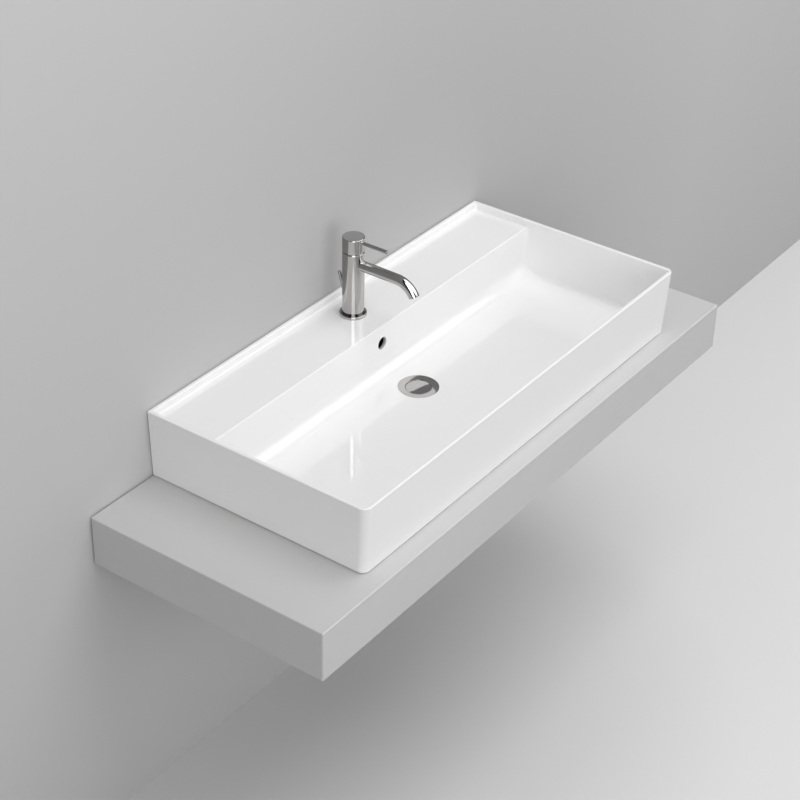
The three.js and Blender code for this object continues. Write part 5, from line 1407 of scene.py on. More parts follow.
@dataclass
class Tap:
    """The pin-lever mixer: foot ring, body, spout with its aerator, collar, cap and lever."""

    shop: Workshop
    lift: Line
    gap: float = 0.3
    cone_from: float = 6.2
    spout_height: float = 110.0
    spout_diameter: float = 20.5
    spout_bore: float = 12.6
    spigot: float = 16.4
    spigot_from: float = 15.5
    spout_sides: int = 96
    aerator: float = 18.0
    lever_height: float = 157.6
    lever_diameter: float = 7.5
    grub_height: float = 17.5
    stud_back: float = 12.5
    lever_from: float = 11.5
    lever_to: float = 77.5
    tilt_height: float = 126.0
    tilt: float = 15.0
    path: SpoutPath = field(default_factory=SpoutPath)
    axis: Vector = field(default_factory=Vector)
    radius: float = 21.0
    height: float = 134.5

    def build(self) -> None:
        """Build the tap's pieces."""
        low, high = cad_box("tap_body")
        self.axis = Vector((0, (low.y + high.y) / 2, low.z))
        self.radius = (high.x - low.x) / 2
        self.height = high.z - low.z
        self._foot()
        self._body()
        self._spout()
        self._aerator()
        self._collar()
        self._cap()
        self._lever()
        self._fixing()

    def _at(self, x: float, y: float, height: float) -> Vector:
        """A point measured from the tap's axis at the ledge."""
        return self.axis + Vector((x, y, height))

    def _foot(self) -> None:
        """The ring on the ledge: a chromed lip, and a steep cone above it round the body, glossy black as
        painted shade.
        """
        bore = self.radius + 0.12
        profile = eased([(bore, 0, 0), (22.1, 0, 0), (22.1, 1.5, 0), (24.1, 1.5, 0), (24.1, 0, 0.15),
                         (26.2, 0.2, 0.2), (26.2, 5.6, 0.7), (24.2, 5.75, 0.1),
                         (bore + 0.3, 10.2, 0.15), (bore, 10.2, 0.1)], 8)
        ring = turned("tap_foot_ring", profile, self.axis)
        self.shop.hand_over(ring, "tap_base_ring")
        # painted shade: the cone above cone_from turns glossy black
        self.shop.blacken_as_shade(ring, self.axis.z + self.cone_from)

    def _body(self) -> None:
        """The turned body with its bores."""
        top, radius = self.height, self.radius
        profile = eased([(0, 0, 0), (radius, 0, 0.2), (radius, top, 1.4), (17.9, top, 0.2),
                         (17.9, top - 10.5, 0), (14.2, top - 10.5, 0), (14.2, top - 36.5, 0),
                         (0, top - 36.5, 0)])
        body = turned("tap_column", profile, self.axis)
        inlets = [rod("inlet", self._at(8.5 * side, -0.5, -1), self._at(8.5 * side, -0.5, top - 35), 10)
                  for side in (-1, 1)]
        stud = rod("stud", self._at(0, -self.stud_back, -1), self._at(0, -self.stud_back, 20), 8.6)
        lift = rod("lift", self.lift.at(-5), self.lift.at(84.5), 5.1)
        knob = rod("knob", self.lift.at(18), self.lift.at(84.5), 7.7)
        spout = rod("spout", self._at(0, -12.2, self.spout_height),
                    self._at(0, -radius - 1, self.spout_height), self.spigot + 0.4)
        carve(body, *inlets, stud, lift, knob, spout)
        self.shop.hand_over(body, "tap_body")

    def _spout(self) -> None:
        """The spout as one skin: outside, lip, aerator seat, bore and spigot."""
        centre = self._at(0, 0, self.spout_height)
        outer, seat, bore = self.spout_diameter / 2, self.aerator / 2 + 0.15, self.spout_bore / 2
        end = self.path.length

        def ring(distance: float, radius: float) -> list[Vector]:
            """A ring round the spout's path."""
            return self.path.ring(distance, radius, centre, self.spout_sides)

        def against_body(radius: float, clear: float) -> list[Vector]:
            """A ring that lies along the body.

            Args:
                radius: The ring's radius.
                clear: How far it stays off the body.

            Returns:
                The ring's points.
            """
            points = []
            for point in self.path.ring(0, radius, centre, self.spout_sides):
                reach = math.sqrt((self.radius + clear) ** 2 - point.x ** 2)
                points.append(Vector((point.x, self.axis.y - reach, point.z)))
            return points

        rings = [against_body(outer, 0.06)]
        rings += [ring(s, outer) for s in (26, 40, 55, 70, 85, 95)]
        bend_end = end - 2
        rings += [ring(100 + (bend_end - 100) * i / 24, outer) for i in range(25)]
        lip = eased([(outer, 2, 0), (outer, 0, 0.45), (seat, 0, 0.35), (seat, 9, 0), (bore, 9, 0)], 6)
        rings += [ring(end - back, radius) for radius, back in lip[1:]]
        rings += [ring(end - 9 - (end - 109) * i / 16, bore) for i in range(1, 17)]
        rings += [ring(60, bore), ring(self.spigot_from, bore), ring(self.spigot_from, self.spigot / 2)]
        rings += [against_body(self.spigot / 2, 0.06)]
        spout = skin("tap_spout", rings, ends=False)
        self.shop.hand_over(spout, "spout")

    def _aerator(self) -> None:
        """The aerator: a knurled housing and a screen with a ring of jets."""
        line = self.path.outlet(self._at(0, 0, self.spout_height))
        outer = self.aerator / 2
        profile = eased([(outer - 2.4, 0.5, 0.3), (outer, 0.5, 0.4), (outer, 8.5, 0.2),
                         (outer - 1.6, 8.5, 0.2), (outer - 1.6, 1.6, 0), (outer - 2.4, 1.6, 0.2)])
        housing = turned("aerator_shell", profile, line.start, line.axis)
        self.shop.hand_over(housing, "aerator_housing")
        radius = outer - 1.6 - self.gap
        screen = turned("aerator_screen",
                        eased([(0, 1.9, 0), (radius, 1.9, 0.3), (radius, 7.6, 0.2), (0, 7.6, 0)]),
                        line.start, line.axis)
        across = line.axis.cross(Vector((1, 0, 0)))
        jets = []
        for count, reach in ((6, 0.32), (12, 0.68)):
            for a, b in around(count):
                side = Vector((a, 0, 0)) + across * b
                middle = line.start + side * radius * reach
                jets.append(rod("jet", middle + line.axis, middle + line.axis * 9, 1.3))
        carve(screen, *jets)
        self.shop.hand_over(screen, "aerator_insert")

    def _collar(self) -> None:
        """The collar between the body and the cap."""
        low, high = cad_box("collar")
        rise, outer = high.z - low.z, (high.x - low.x) / 2
        profile = eased([(12, 0, 0), (outer, 0, 0.15), (outer, rise, 0.45), (12, rise, 0.2)])
        collar = turned("tap_collar", profile, (0, self.axis.y, low.z))
        self.shop.hand_over(collar, "collar")

    def _cap(self) -> None:
        """The cap with the lever's hole, the stem's socket and its rear rim cut away on a slant."""
        low, high = cad_box("lever_cap")
        radius = (high.x - low.x) / 2
        bottom, top = low.z - self.axis.z, high.z - self.axis.z
        roof = self.height + 11.5
        profile = eased([(0, roof, 0), (radius - 1.8, roof, 0.5), (radius - 1.8, bottom, 0.2),
                         (radius, bottom, 0.3), (radius, top, 1.3), (0, top, 0)])
        cap = turned("tap_cap", profile, self.axis)
        half = 4.3
        socket = block("socket", self._at(-half, -half, roof - 1),
                       self._at(half, half, self.lever_height + 3.7))
        hole = rod("hole", self._at(0, -self.lever_from + self.gap, self.lever_height),
                   self._at(0, -radius - 1, self.lever_height), self.lever_diameter + 0.3)
        level = self.height + self.grub_height
        grub = rod("grub", self._at(0, half - 1, level), self._at(0, radius + 1, level), 5.2)
        wide, clear = 1.5 * radius, self.height + self.gap - self.tilt_height
        relief = block("relief", (-wide, -wide, clear - 20), (wide, wide, clear))
        turn = Matrix.Rotation(math.radians(self.tilt), 4, "X")
        relief.data.transform(Matrix.Translation(self._at(0, 0, self.tilt_height) * MM) @ turn)
        carve(cap, socket, hole, grub, relief)
        self.shop.hand_over(cap, "lever_cap")

    def _lever(self) -> None:
        """The pin and the grub screw that holds the cap."""
        radius = self.lever_diameter / 2
        profile = eased([(0, self.lever_from, 0), (radius, self.lever_from, 0.3),
                         (radius, self.lever_to, 0.6), (0, self.lever_to, 0)])
        pin = turned("lever_pin", profile, self._at(0, 0, self.lever_height), (0, -1, 0),
                     Sides.MEDIUM)
        self.shop.hand_over(pin, "lever_rod")
        level = self.height + self.grub_height
        profile = threaded([(0, 4.3), (2.0, 4.3)], 2.3, 4.8, 12.0, 0.8, [(1.9, 12.3), (0, 12.3)])
        grub = turned("lever_grub", profile, self._at(0, 0, level), (0, 1, 0), Sides.SMALL)
        carve(grub, hex_bar("key", self._at(0, 12.5, level), (0, -1, 0), 2.2, 2.7))
        self.shop.hand_over(grub, "lever_grub_screw")

    def _fixing(self) -> None:
        """The stud, and the nut that pulls the tap down from below."""
        low, high = cad_box("tap_stud")
        y = self.axis.y - self.stud_back
        profile = threaded([(0, low.z), (3.3, low.z)], 4.0, low.z + 0.7, high.z - 0.7, 1.25,
                           [(3.3, high.z), (0, high.z)])
        stud = turned("fixing_stud", profile, (0, y, 0), sides=Sides.SMALL)
        self.shop.hand_over(stud, "tap_stud")
        low, high = cad_box("stud_nut")
        nut = hex_nut("fixing_nut", (0, y, low.z), (0, 0, 1), 13.0, high.z - low.z, 8.6)
        self.shop.hand_over(nut, "stud_nut")


# ---------------------------------------- pop-up linkage


@dataclass
class Linkage:
    """The lift rod with its knob and strap, and the ball rod that it moves."""

    shop: Workshop
    line: Line
    knob_radius: float = 3.6
    knob: Span = (50.0, 84.5)
    rod_radius: float = 2.25
    rod_from: float = -141.0
    strap_half: float = 7.0
    strap_depth: float = 5.0
    strap_top: float = -128.0
    screw_at: float = -134.5
    strap_step: float = -150.0
    strap_end: float = -190.0
    pivot: Point = (0.0, -195.0, -5.0)
    pivot_slope: float = 10.3

    def build(self) -> None:
        """Build the linkage's pieces."""
        self._rod()
        self._knob()
        self._strap()
        self._strap_screw()
        self._ball_rod()

    def _rod(self) -> None:
        """The lift rod."""
        profile = eased([(0, self.rod_from, 0), (self.rod_radius, self.rod_from, 0.3),
                         (self.rod_radius, 60, 0.3), (0, 60, 0)])
        pull = turned("pull_rod", profile, self.line.start, self.line.axis, Sides.SMALL)
        self.shop.hand_over(pull, "lift_rod")

    def _knob(self) -> None:
        """The knob: a slim sleeve with a rounded end."""
        low, high = self.knob
        radius, bore = self.knob_radius, self.rod_radius + 0.2
        profile = eased([(bore, low, 0.1), (radius, low, 0.4), (radius, high, 1.1), (0, high, 0),
                         (0, low + 10.3, 0), (bore, low + 10.3, 0)], 8)
        knob = turned("pull_knob", profile, self.line.start, self.line.axis, Sides.MEDIUM)
        self.shop.hand_over(knob, "lift_knob")

    def _strap(self) -> None:
        """The block on the rod's end with its flat strip and holes."""
        half, depth = self.strap_half, self.strap_depth
        strap = slab("pull_strap", (-half, -depth, self.strap_step), (half, depth, self.strap_top), 1.2,
                     0.8)
        strip = slab("strip", (-half, -0.75, self.strap_end), (half, 0.75, self.strap_step + 1), 0.3,
                     0.2)
        carve(strap, strip, operation="UNION")
        cutters = [rod("socket", (0, 0, self.rod_from - 0.3), (0, 0, self.strap_top + 1), 5.1),
                   rod("tapping", (0, 0, self.screw_at), (half + 1, 0, self.screw_at), 4.6)]
        for step in (-1, 0, 1):
            hole = self._strap_hole() - 12 * step
            cutters.append(rod("hole", (0, -4, hole), (0, 4, hole), 8))
        carve(strap, *cutters)
        lean = Matrix.Rotation(-math.atan2(self.line.axis.y, self.line.axis.z), 4, "X")
        self.shop.hand_over(moved(strap, self.line.start, lean), "lift_strap")

    def _strap_hole(self) -> float:
        """Where the ball rod crosses the lift rod's line.

        Returns:
            The distance along that line.
        """
        slope = math.tan(math.radians(self.pivot_slope))
        rise = self.line.start.z - self.pivot[2] - slope * (self.line.start.y - self.pivot[1])
        return -rise / (self.line.axis.z - slope * self.line.axis.y)

    def _strap_screw(self) -> None:
        """The thumb screw that holds the rod in the block."""
        middle = self.line.at(self.screw_at)
        profile = threaded([(0, 2.6), (1.4, 2.6)], 2.0, 2.9, 7.3, 0.7,
                           eased([(2.0, 7.3, 0), (4.5, 7.3, 0.4), (4.5, 12.3, 0.6), (0, 12.3, 0)]))
        screw = turned("thumb_screw", profile, middle, (1, 0, 0), Sides.SMALL)
        reach = Vector((1, 0, 0))
        across = self.line.axis.cross(reach)
        grips = []
        for a, b in around(16):
            side = (self.line.axis * a + across * b) * 4.65
            grips.append(rod("grip", middle + side + reach * 7.9, middle + side + reach * 13, 0.9))
        carve(screw, *grips)
        self.shop.hand_over(screw, "strap_screw")

    def _ball_rod(self) -> None:
        """The rod and its ball, turned in one."""
        slope = math.radians(self.pivot_slope)
        start = math.degrees(math.asin(2.5 / 6))
        ball = [(r, h) for h, r in arc((0, 0), 6.0, 180 - start, start, 24)]
        profile = [(0, -31), (2.2, -31), (2.5, -30.7), *ball, (2.5, 99.7), (2.2, 100), (0, 100)]
        rod_piece = turned("ball_lever", profile, self.pivot, (0, math.cos(slope), math.sin(slope)),
                           Sides.SMALL)
        self.shop.hand_over(rod_piece, "ball_rod")


# ---------------------------------------- waste and trap


@dataclass
class Waste:
    """The dished flange with its tube, the parts that hold it, and the plug."""

    shop: Workshop
    drain: Point = (0.0, -222.0, 71.3)
    pivot: Point = (0.0, -195.0, -5.0)
    slot: float = 7.0
    slot_levels: Span = (55.0, 58.5)
    tube: float = 20.9
    tube_bore: float = 18.0
    tube_end: float = -42.0
    dish: float = 39.0
    seat: float = 25.2
    thread_bore: float = 21.6
    locknut: float = 27.0
    body: float = 25.0
    body_mouth: float = 21.5
    barrel: float = 19.0
    barrel_bore: float = 16.0
    tail_bore: float = 14.2
    port: float = 11.0
    port_nut: float = 14.3
    cap: float = 24.5
    spindle: float = 4.0
    spindle_bore: float = 2.8
    fin: float = 16.5

    def build(self) -> None:
        """Build the waste's pieces."""
        self._flange()
        self._rings()
        self._locknut()
        self._lower_body()
        self._pivot_nut()
        self._plug()

    def _turn(self, name: str, node: str, profile: Sequence[Flat], sides: Sides = Sides.FINE) -> None:
        """Turn a piece round the waste's axis and hand it over.

        Args:
            name: The piece's name.
            node: The node it replaces.
            profile: Its profile, with heights from the lowest point of the bowl floor.
            sides: How many sides it gets.
        """
        self.shop.hand_over(turned(name, profile, self.drain, sides=sides), node)

    def _levels(self, node: str) -> Span:
        """A node's lowest and highest level from the lowest point of the bowl floor."""
        low, high = cad_box(node)
        return low.z - self.drain[2], high.z - self.drain[2]

    def _flange(self) -> None:
        """The flange: a dish in the bowl floor on a threaded tube, slotted for the overflow."""
        bore, outer, seat, edge, end = self.tube_bore, self.tube, self.seat, self.dish, self.tube_end
        tube = threaded([(bore, end), (outer - 1, end)], outer, end + 0.8, -19.5, 1.6, [(outer, -18)])
        dish = eased([(outer, -9, 0), (seat + 1.5, -9, 0.3), (seat + 1.5, -7, 0), (37.8, -0.3, 0),
                      (edge, -0.3, 0), (edge, 0.35, 0.12), (seat, -0.9, 0.25), (seat, -7.5, 0.3),
                      (bore, -7.5, 0.6)])
        flange = turned("waste_dish", [*tube, *dish], self.drain)
        x, y, _ = self.drain
        low, high = self.slot_levels
        carve(flange, block("across", (x - 23, y - self.slot, low), (x + 23, y + self.slot, high)),
              block("along", (x - self.slot, y - 23, low), (x + self.slot, y + 23, high)))
        self.shop.hand_over(flange, "waste_flange")

    def _rings(self) -> None:
        """The gaskets and the plug's seal."""
        self._turn("dish_gasket", "flange_gasket",
                   eased([(21.5, -10.2, 0.2), (26.4, -10.2, 0.2), (26.4, -9, 0.2), (21.5, -9, 0.2)]))
        inner, outer = self.thread_bore, self.locknut + 1
        bottom, top = self._levels("waste_lower_gasket")
        self._turn("cone_gasket", "waste_lower_gasket",
                   eased([(inner, bottom, 0.4), (outer, bottom, 0.8), (outer, top, 1.2),
                          (inner, top, 0.4)]))
        self._turn("plug_ring", "plug_seal", arc((21.0, -6.1), 1.1, 0, 345, 23))

    def _locknut(self) -> None:
        """The locknut with its lugs."""
        bore, outer = self.thread_bore, self.locknut
        bottom, top = self._levels("waste_locknut")
        nut = turned("flange_nut",
                     eased([(bore, bottom, 0.5), (outer, bottom, 0.6), (outer, top, 0.6),
                            (bore, top, 0.5)]), self.drain)
        for i in range(6):
            lug = slab("lug", (24.5, -4, bottom), (29.9, 4, top), 1.0, 0.5)
            carve(nut, moved(lug, self.drain, Matrix.Rotation(math.radians(60 * i + 30), 4, "Z")),
                  operation="UNION")
        self.shop.hand_over(nut, "waste_locknut")

    def _lower_body(self) -> None:
        """The body with its socket, its port for the ball rod and its tail."""
        x, y, _ = self.drain
        bottom, top = self._levels("waste_body")
        mouth, wide, barrel = self.body_mouth, self.body, self.barrel
        bore, tail, step = self.barrel_bore, self.tail_bore, self.tube_end - 0.3
        profile = eased([(mouth, top, 0.3), (wide, top, 0.8), (wide, -45.3, 1), (barrel, -49.3, 1.5),
                         (barrel, -93.8, 1.0), (bore, -96.8, 1.0), (bore, bottom, 0.4),
                         (tail, bottom, 0.3), (tail, -94.8, 0), (bore, -91.8, 0), (bore, step, 0),
                         (mouth, step, 0)])
        body = turned("waste_barrel", profile, self.drain)
        px, py, pz = self.pivot
        port = turned("port", eased([(0, 17, 0), (self.port, 17, 0), (self.port, 34, 0.5), (0, 34, 0)]),
                      (px, y, pz), (0, 1, 0))
        carve(body, port, operation="UNION")
        inside = rod("inside", (x, y, pz - 20), (x, y, pz + 20), 2 * bore + 0.02, Sides.FINE)
        chamber = rod("chamber", (px, py - 5, pz), (px, y + 35, pz), 18, Sides.MEDIUM)
        throat = rod("throat", (px, y + 10, pz), (px, py, pz), 10.4, Sides.MEDIUM)
        carve(body, inside, chamber, throat)
        self.shop.hand_over(body, "waste_body")

    def _pivot_nut(self) -> None:
        """The nut on the port, with grips."""
        x, y, _ = self.drain
        pz = self.pivot[2]
        bore, outer = self.port + 0.3, self.port_nut
        profile = eased([(bore, -4.7, 0.3), (outer, -4.7, 0.5), (outer, 10.3, 1.0), (6, 10.3, 0.5),
                         (6, 7.3, 0), (bore, 7.3, 0)])
        nut = turned("port_nut", profile, self.pivot, (0, 1, 0))
        grips = [rod("barrel", (x, y, pz - 30), (x, y, pz + 30), 2 * self.barrel + 0.6,
                     Sides.FINE)]
        for a, b in around(18):
            middle = Vector(self.pivot) + Vector((a, 0, b)) * (outer + 0.4)
            grips.append(rod("grip", middle + Vector((0, -5, 0)), middle + Vector((0, 8.6, 0)), 1.6))
        carve(nut, *grips)
        self.shop.hand_over(nut, "pivot_nut")

    def _plug(self) -> None:
        """The plug's cap, its finned stem, and the adjuster that stands on the ball rod."""
        clear, edge, post, bore = self.spindle + 0.3, self.cap, self.spindle, self.spindle_bore
        cap = eased([(clear, -7.4, 0.2), (16.1, -7.4, 0.3), (19.6, -4.7, 0), (edge, -4.7, 0.5),
                     (edge, -1.6, 0.4), (20, -1.3, 0)])
        cap += [(r, -1.0 - 0.3 * (r / 20) ** 2) for r in (16.0, 12.0, 8.0, 4.0, 0.0)]
        cap += [(0, -3.7), (clear, -3.7)]
        self._turn("plug_lid", "plug_cap", cap)
        foot, tip = self._levels("plug_adjuster")
        foot += post
        top = self._levels("plug_stem")[1]
        stem = turned("plug_spindle",
                      eased([(bore, tip - 6, 0.2), (post, tip - 6, 0.4), (post, top, 0.3), (0, top, 0),
                             (0, tip + 0.3, 0), (bore, tip + 0.3, 0)]), self.drain)
        x, y, z = self.drain
        for wide, deep in ((self.fin, 1.0), (1.0, self.fin)):
            fin = slab("fin", (x - wide, y - deep, z - 34.1), (x + wide, y + deep, z - 8.1), 0.6, 0.5)
            carve(stem, fin, operation="UNION")
        self.shop.hand_over(stem, "plug_stem")
        ball = arc((0, foot), post, -90, 0, 10)
        ball[0] = (0, foot - post)
        self._turn("plug_foot", "plug_adjuster",
                   threaded([*ball, (post, foot + 0.6)], 2.5, foot + 1, tip - 0.4, 0.8,
                            [(1.9, tip), (0, tip)]), Sides.SMALL)
        low, high = cad_box("adjuster_nut")
        nut = hex_nut("plug_nut", (x, y, low.z), (0, 0, 1), 10, high.z - low.z, 5.6)
        self.shop.hand_over(nut, "adjuster_nut")


@dataclass
class Trap:
    """The bottle trap with its nuts, the outlet pipe and the rosette on the wall."""

    shop: Workshop
    top: Point = (0.0, -222.0, 72.5)
    outlet_drop: float = 200.0
    tail: float = 16.6
    neck: float = 19.0
    neck_nut: float = 22.0
    head: float = 29.0
    head_bore: float = 26.0
    dip: float = 15.0
    dip_bore: float = 13.0
    cup: float = 27.5
    cup_mouth: float = 25.7
    cup_bore: float = 23.2
    grip: float = 1.5
    notch: float = 1.8
    pipe: float = 16.0
    pipe_bore: float = 14.2
    pipe_clear: float = 16.3
    outlet_nut: float = 23.0
    cover: float = 35.0
    wall: float = 222.0

    def build(self) -> None:
        """Build the trap's pieces."""
        self._neck_collar()
        self._head()
        self._cup()
        self._outlet()

    def _neck_collar(self) -> None:
        """The nut on the head's neck, with notches for the grip."""
        tail, neck, outer = self.tail, self.neck, self.neck_nut
        nut = eased([(tail, -152, 0.3), (neck, -152, 1.0), (outer, -155, 1.5), (outer, -174, 0.6),
                     (neck + 0.3, -174, 0.4), (neck + 0.3, -159.4, 0), (tail, -159.4, 0)])
        piece = turned("trap_collar", nut, self.top)
        cutters = []
        for a, b in around(24, outer + 0.6):
            middle = Vector(self.top) + Vector((a, b, 0))
            cutters.append(rod("notch", middle + Vector((0, 0, -172)), middle + Vector((0, 0, -157)),
                               self.notch))
        carve(piece, *cutters)
        self.shop.hand_over(piece, "trap_nut")

    def _head(self) -> None:
        """The head: neck, dome, dip tube and outlet boss, and the seal on its neck."""
        x, y, z = self.top
        tail, neck, outer, inner = self.tail, self.neck, self.head, self.head_bore
        dip, bore = self.dip, self.dip_bore
        profile = eased([(tail, -164, 0.3), (neck, -164, 0.5), (neck, -178, 0.8),
                         (outer - 4, -178, 2.0), (outer, -182, 2.0), (outer, -224, 0.5),
                         (inner, -224, 0.3), (inner, -184, 0), (dip, -186, 0), (dip, -255, 0.3),
                         (bore, -255, 0.3), (bore, -173.3, 0), (tail, -170.3, 0)])
        head = turned("trap_dome", profile, self.top)
        level = z - self.outlet_drop
        boss = turned("boss", eased([(0, 27, 0), (neck, 27, 0), (neck, 44, 0.5), (0, 44, 0)]),
                      (x, y, level), (0, 1, 0))
        carve(head, boss, operation="UNION")
        carve(head, rod("bore", (x, y + 24, level), (x, y + 45, level), 2 * self.pipe_clear,
                        Sides.FINE))
        self.shop.hand_over(head, "trap_head")
        seal = eased([(tail, -163.7, 0.3), (18.5, -163.7, 0.3), (18.5, -159.7, 0.3),
                      (tail, -159.7, 0.3)])
        self.shop.hand_over(turned("trap_gasket", seal, self.top), "trap_seal")

    def _cup(self) -> None:
        """The cup with its grips, and the seal at its rim."""
        x, y, z = self.top
        outer, mouth, bore = self.cup, self.cup_mouth, self.cup_bore
        profile = eased([(0, -292, 0), (21, -292, 2.5), (outer, -287, 2.5), (outer, -226.6, 0.6),
                         (mouth, -226.6, 0), (mouth, -212, 0.4), (bore, -212, 0.4), (bore, -287, 1),
                         (18.2, -289.5, 1), (0, -289.5, 0)])
        cup = turned("trap_bowl", profile, self.top)
        rib = eased([(0, -284, 0), (self.grip, -284, 1.2), (self.grip, -227.6, 1.2), (0, -227.6, 0)])
        for a, b in around(12, outer):
            grip = turned("grip", rib, (x + a, y + b, z), sides=Sides.SMALL)
            carve(cup, grip, operation="UNION")
        self.shop.hand_over(cup, "trap_cup")
        seal = eased([(26.2, -226.3, 0.3), (outer, -226.3, 0.3), (outer, -224.3, 0.3),
                      (26.2, -224.3, 0.3)])
        self.shop.hand_over(turned("bowl_gasket", seal, self.top), "cup_seal")

    def _outlet(self) -> None:
        """The outlet's nut, its pipe and the rosette."""
        x, y, z = self.top
        start = (x, y, z - self.outlet_drop)
        clear, boss, outer, wall = self.pipe_clear, self.neck + 0.3, self.outlet_nut, self.wall
        nut = turned("outlet_collar",
                     eased([(boss, 32.3, 0.3), (outer, 32.3, 0.6), (outer, 46.3, 1.0),
                            (outer - 2, 48.3, 1.0), (clear, 48.3, 0.4), (clear, 44.3, 0),
                            (boss, 44.3, 0)]), start, (0, 1, 0))
        cutters = []
        for a, b in around(24, outer + 0.6):
            middle = Vector(start) + Vector((a, 34, b))
            cutters.append(rod("notch", middle, middle + Vector((0, 10, 0)), self.notch))
        carve(nut, *cutters)
        self.shop.hand_over(nut, "outlet_nut")
        pipe, bore = self.pipe, self.pipe_bore
        tube = eased([(bore, 29, 0.3), (pipe, 29, 0.3), (pipe, wall, 0), (bore, wall, 0)])
        self.shop.hand_over(turned("outlet_tube", tube, start, (0, 1, 0)), "outlet_pipe")
        edge = self.cover
        rosette = turned("wall_cover",
                         eased([(clear, wall - 12, 0.4), (clear + 4, wall - 12, 2.0),
                                (edge - 4, wall - 7, 5.0), (edge, wall - 2, 1.0), (edge, wall, 0.3),
                                (edge - 1.5, wall, 0), (edge - 1.5, wall - 1, 0),
                                (edge - 5, wall - 5.5, 3.0), (clear + 3.5, wall - 10.5, 0.8),
                                (clear, wall - 10.5, 0)], 8), start, (0, 1, 0))
        self.shop.hand_over(rosette, "wall_rosette")


# ---------------------------------------- studio


def solid(grey: float) -> tuple[float, float, float, float]:
    """A grey as an opaque colour."""
    return grey, grey, grey, 1.0


@dataclass(frozen=True)
class Glow:
    """A soft round light that only reflections show."""

    azimuth: float
    elevation: float
    full: float
    gone: float
    strength: float

    def direction(self) -> Vector:
        """The unit vector towards its middle."""
        turn, rise = math.radians(self.azimuth), math.radians(self.elevation)
        return Vector((math.cos(turn) * math.cos(rise), math.sin(turn) * math.cos(rise),
                       math.sin(rise)))


@dataclass(frozen=True)
class Spot:
    """A round spot on a plane: its middle, and how far it is full and where it is gone, in metres."""

    middle: Point
    full: float
    gone: float


@dataclass(frozen=True)
class Paint:
    """A stage paint.

    For the camera it has a painted shade: one grey near a spot round the object and another far from it.
    Reflections see painted reflection greys by height, not the grey the camera sees, with a spot that can
    have its own painted reflection grey; one more grey is for the light it throws.
    """

    name: str
    near: float
    far: float
    middle: Spot
    bounce: float
    mirrored: tuple[tuple[float, float], ...]
    patch: Spot | None = None
    patch_grey: float = 0.0


@dataclass(frozen=True)
class Lamp:
    """A rectangular soft lamp: its place, target and size in metres, and its power in watts."""

    name: str
    place: Point
    target: Point
    size: Flat
    power: float
    only_object: bool = False


@dataclass(frozen=True)
class View:
    """The camera: its place in metres, its turn in radians, its lens and sensor in millimetres."""

    place: Point = (-2.52829, -1.98110, 2.06683)
    yaw: float = 0.95187981
    pitch: float = 0.58201386
    roll: float = 0.02397451
    lens: float = 88.0323
    sensor: float = 36.0
    reach: float = 50.0


# painted shade: the wall is darker round the tap and basin; reflections see painted greys by height and a
# brighter painted reflection behind the cap
WALL_PAINT = Paint("wall_paint", near=0.49, far=0.6, middle=Spot((0.3, 0.0, 0.25), 0.25, 1.25),
                   bounce=0.5, mirrored=((0.16, 0.52), (0.22, 0.35), (0.34, 0.29)),
                   patch=Spot((0.09, 0.0, 0.42), 0.06, 0.075), patch_grey=0.54)
# painted shadow: the floor is darker under the shelf and lighter far from it
FLOOR_PAINT = Paint("floor_paint", near=0.6, far=0.797, middle=Spot((-0.1, -0.15, -0.653), 0.05, 0.8),
                    bounce=0.48, mirrored=((0.0, 0.77), (1.0, 0.77)))

LAMPS = (
    Lamp("overhead", (0.3, -1.4, 3.2), (0.1, -0.3, 0.0), (2.5, 2.0), 50.0),
    Lamp("front", (-1.0, -3.0, 0.8), (0.1, -0.2, 0.0), (1.6, 1.6), 18.5),
    Lamp("right", (4.2, -1.0, 1.6), (0.0, -0.2, 0.0), (1.5, 1.5), 26.0),
    Lamp("right_front", (2.2, -2.4, 1.2), (0.2, -0.3, 0.0), (1.5, 1.2), 5.0),
    Lamp("back", (0.0, 2.5, 0.0), (0.0, 0.0, 0.0), (0.8, 0.6), 12.0, only_object=True),
)


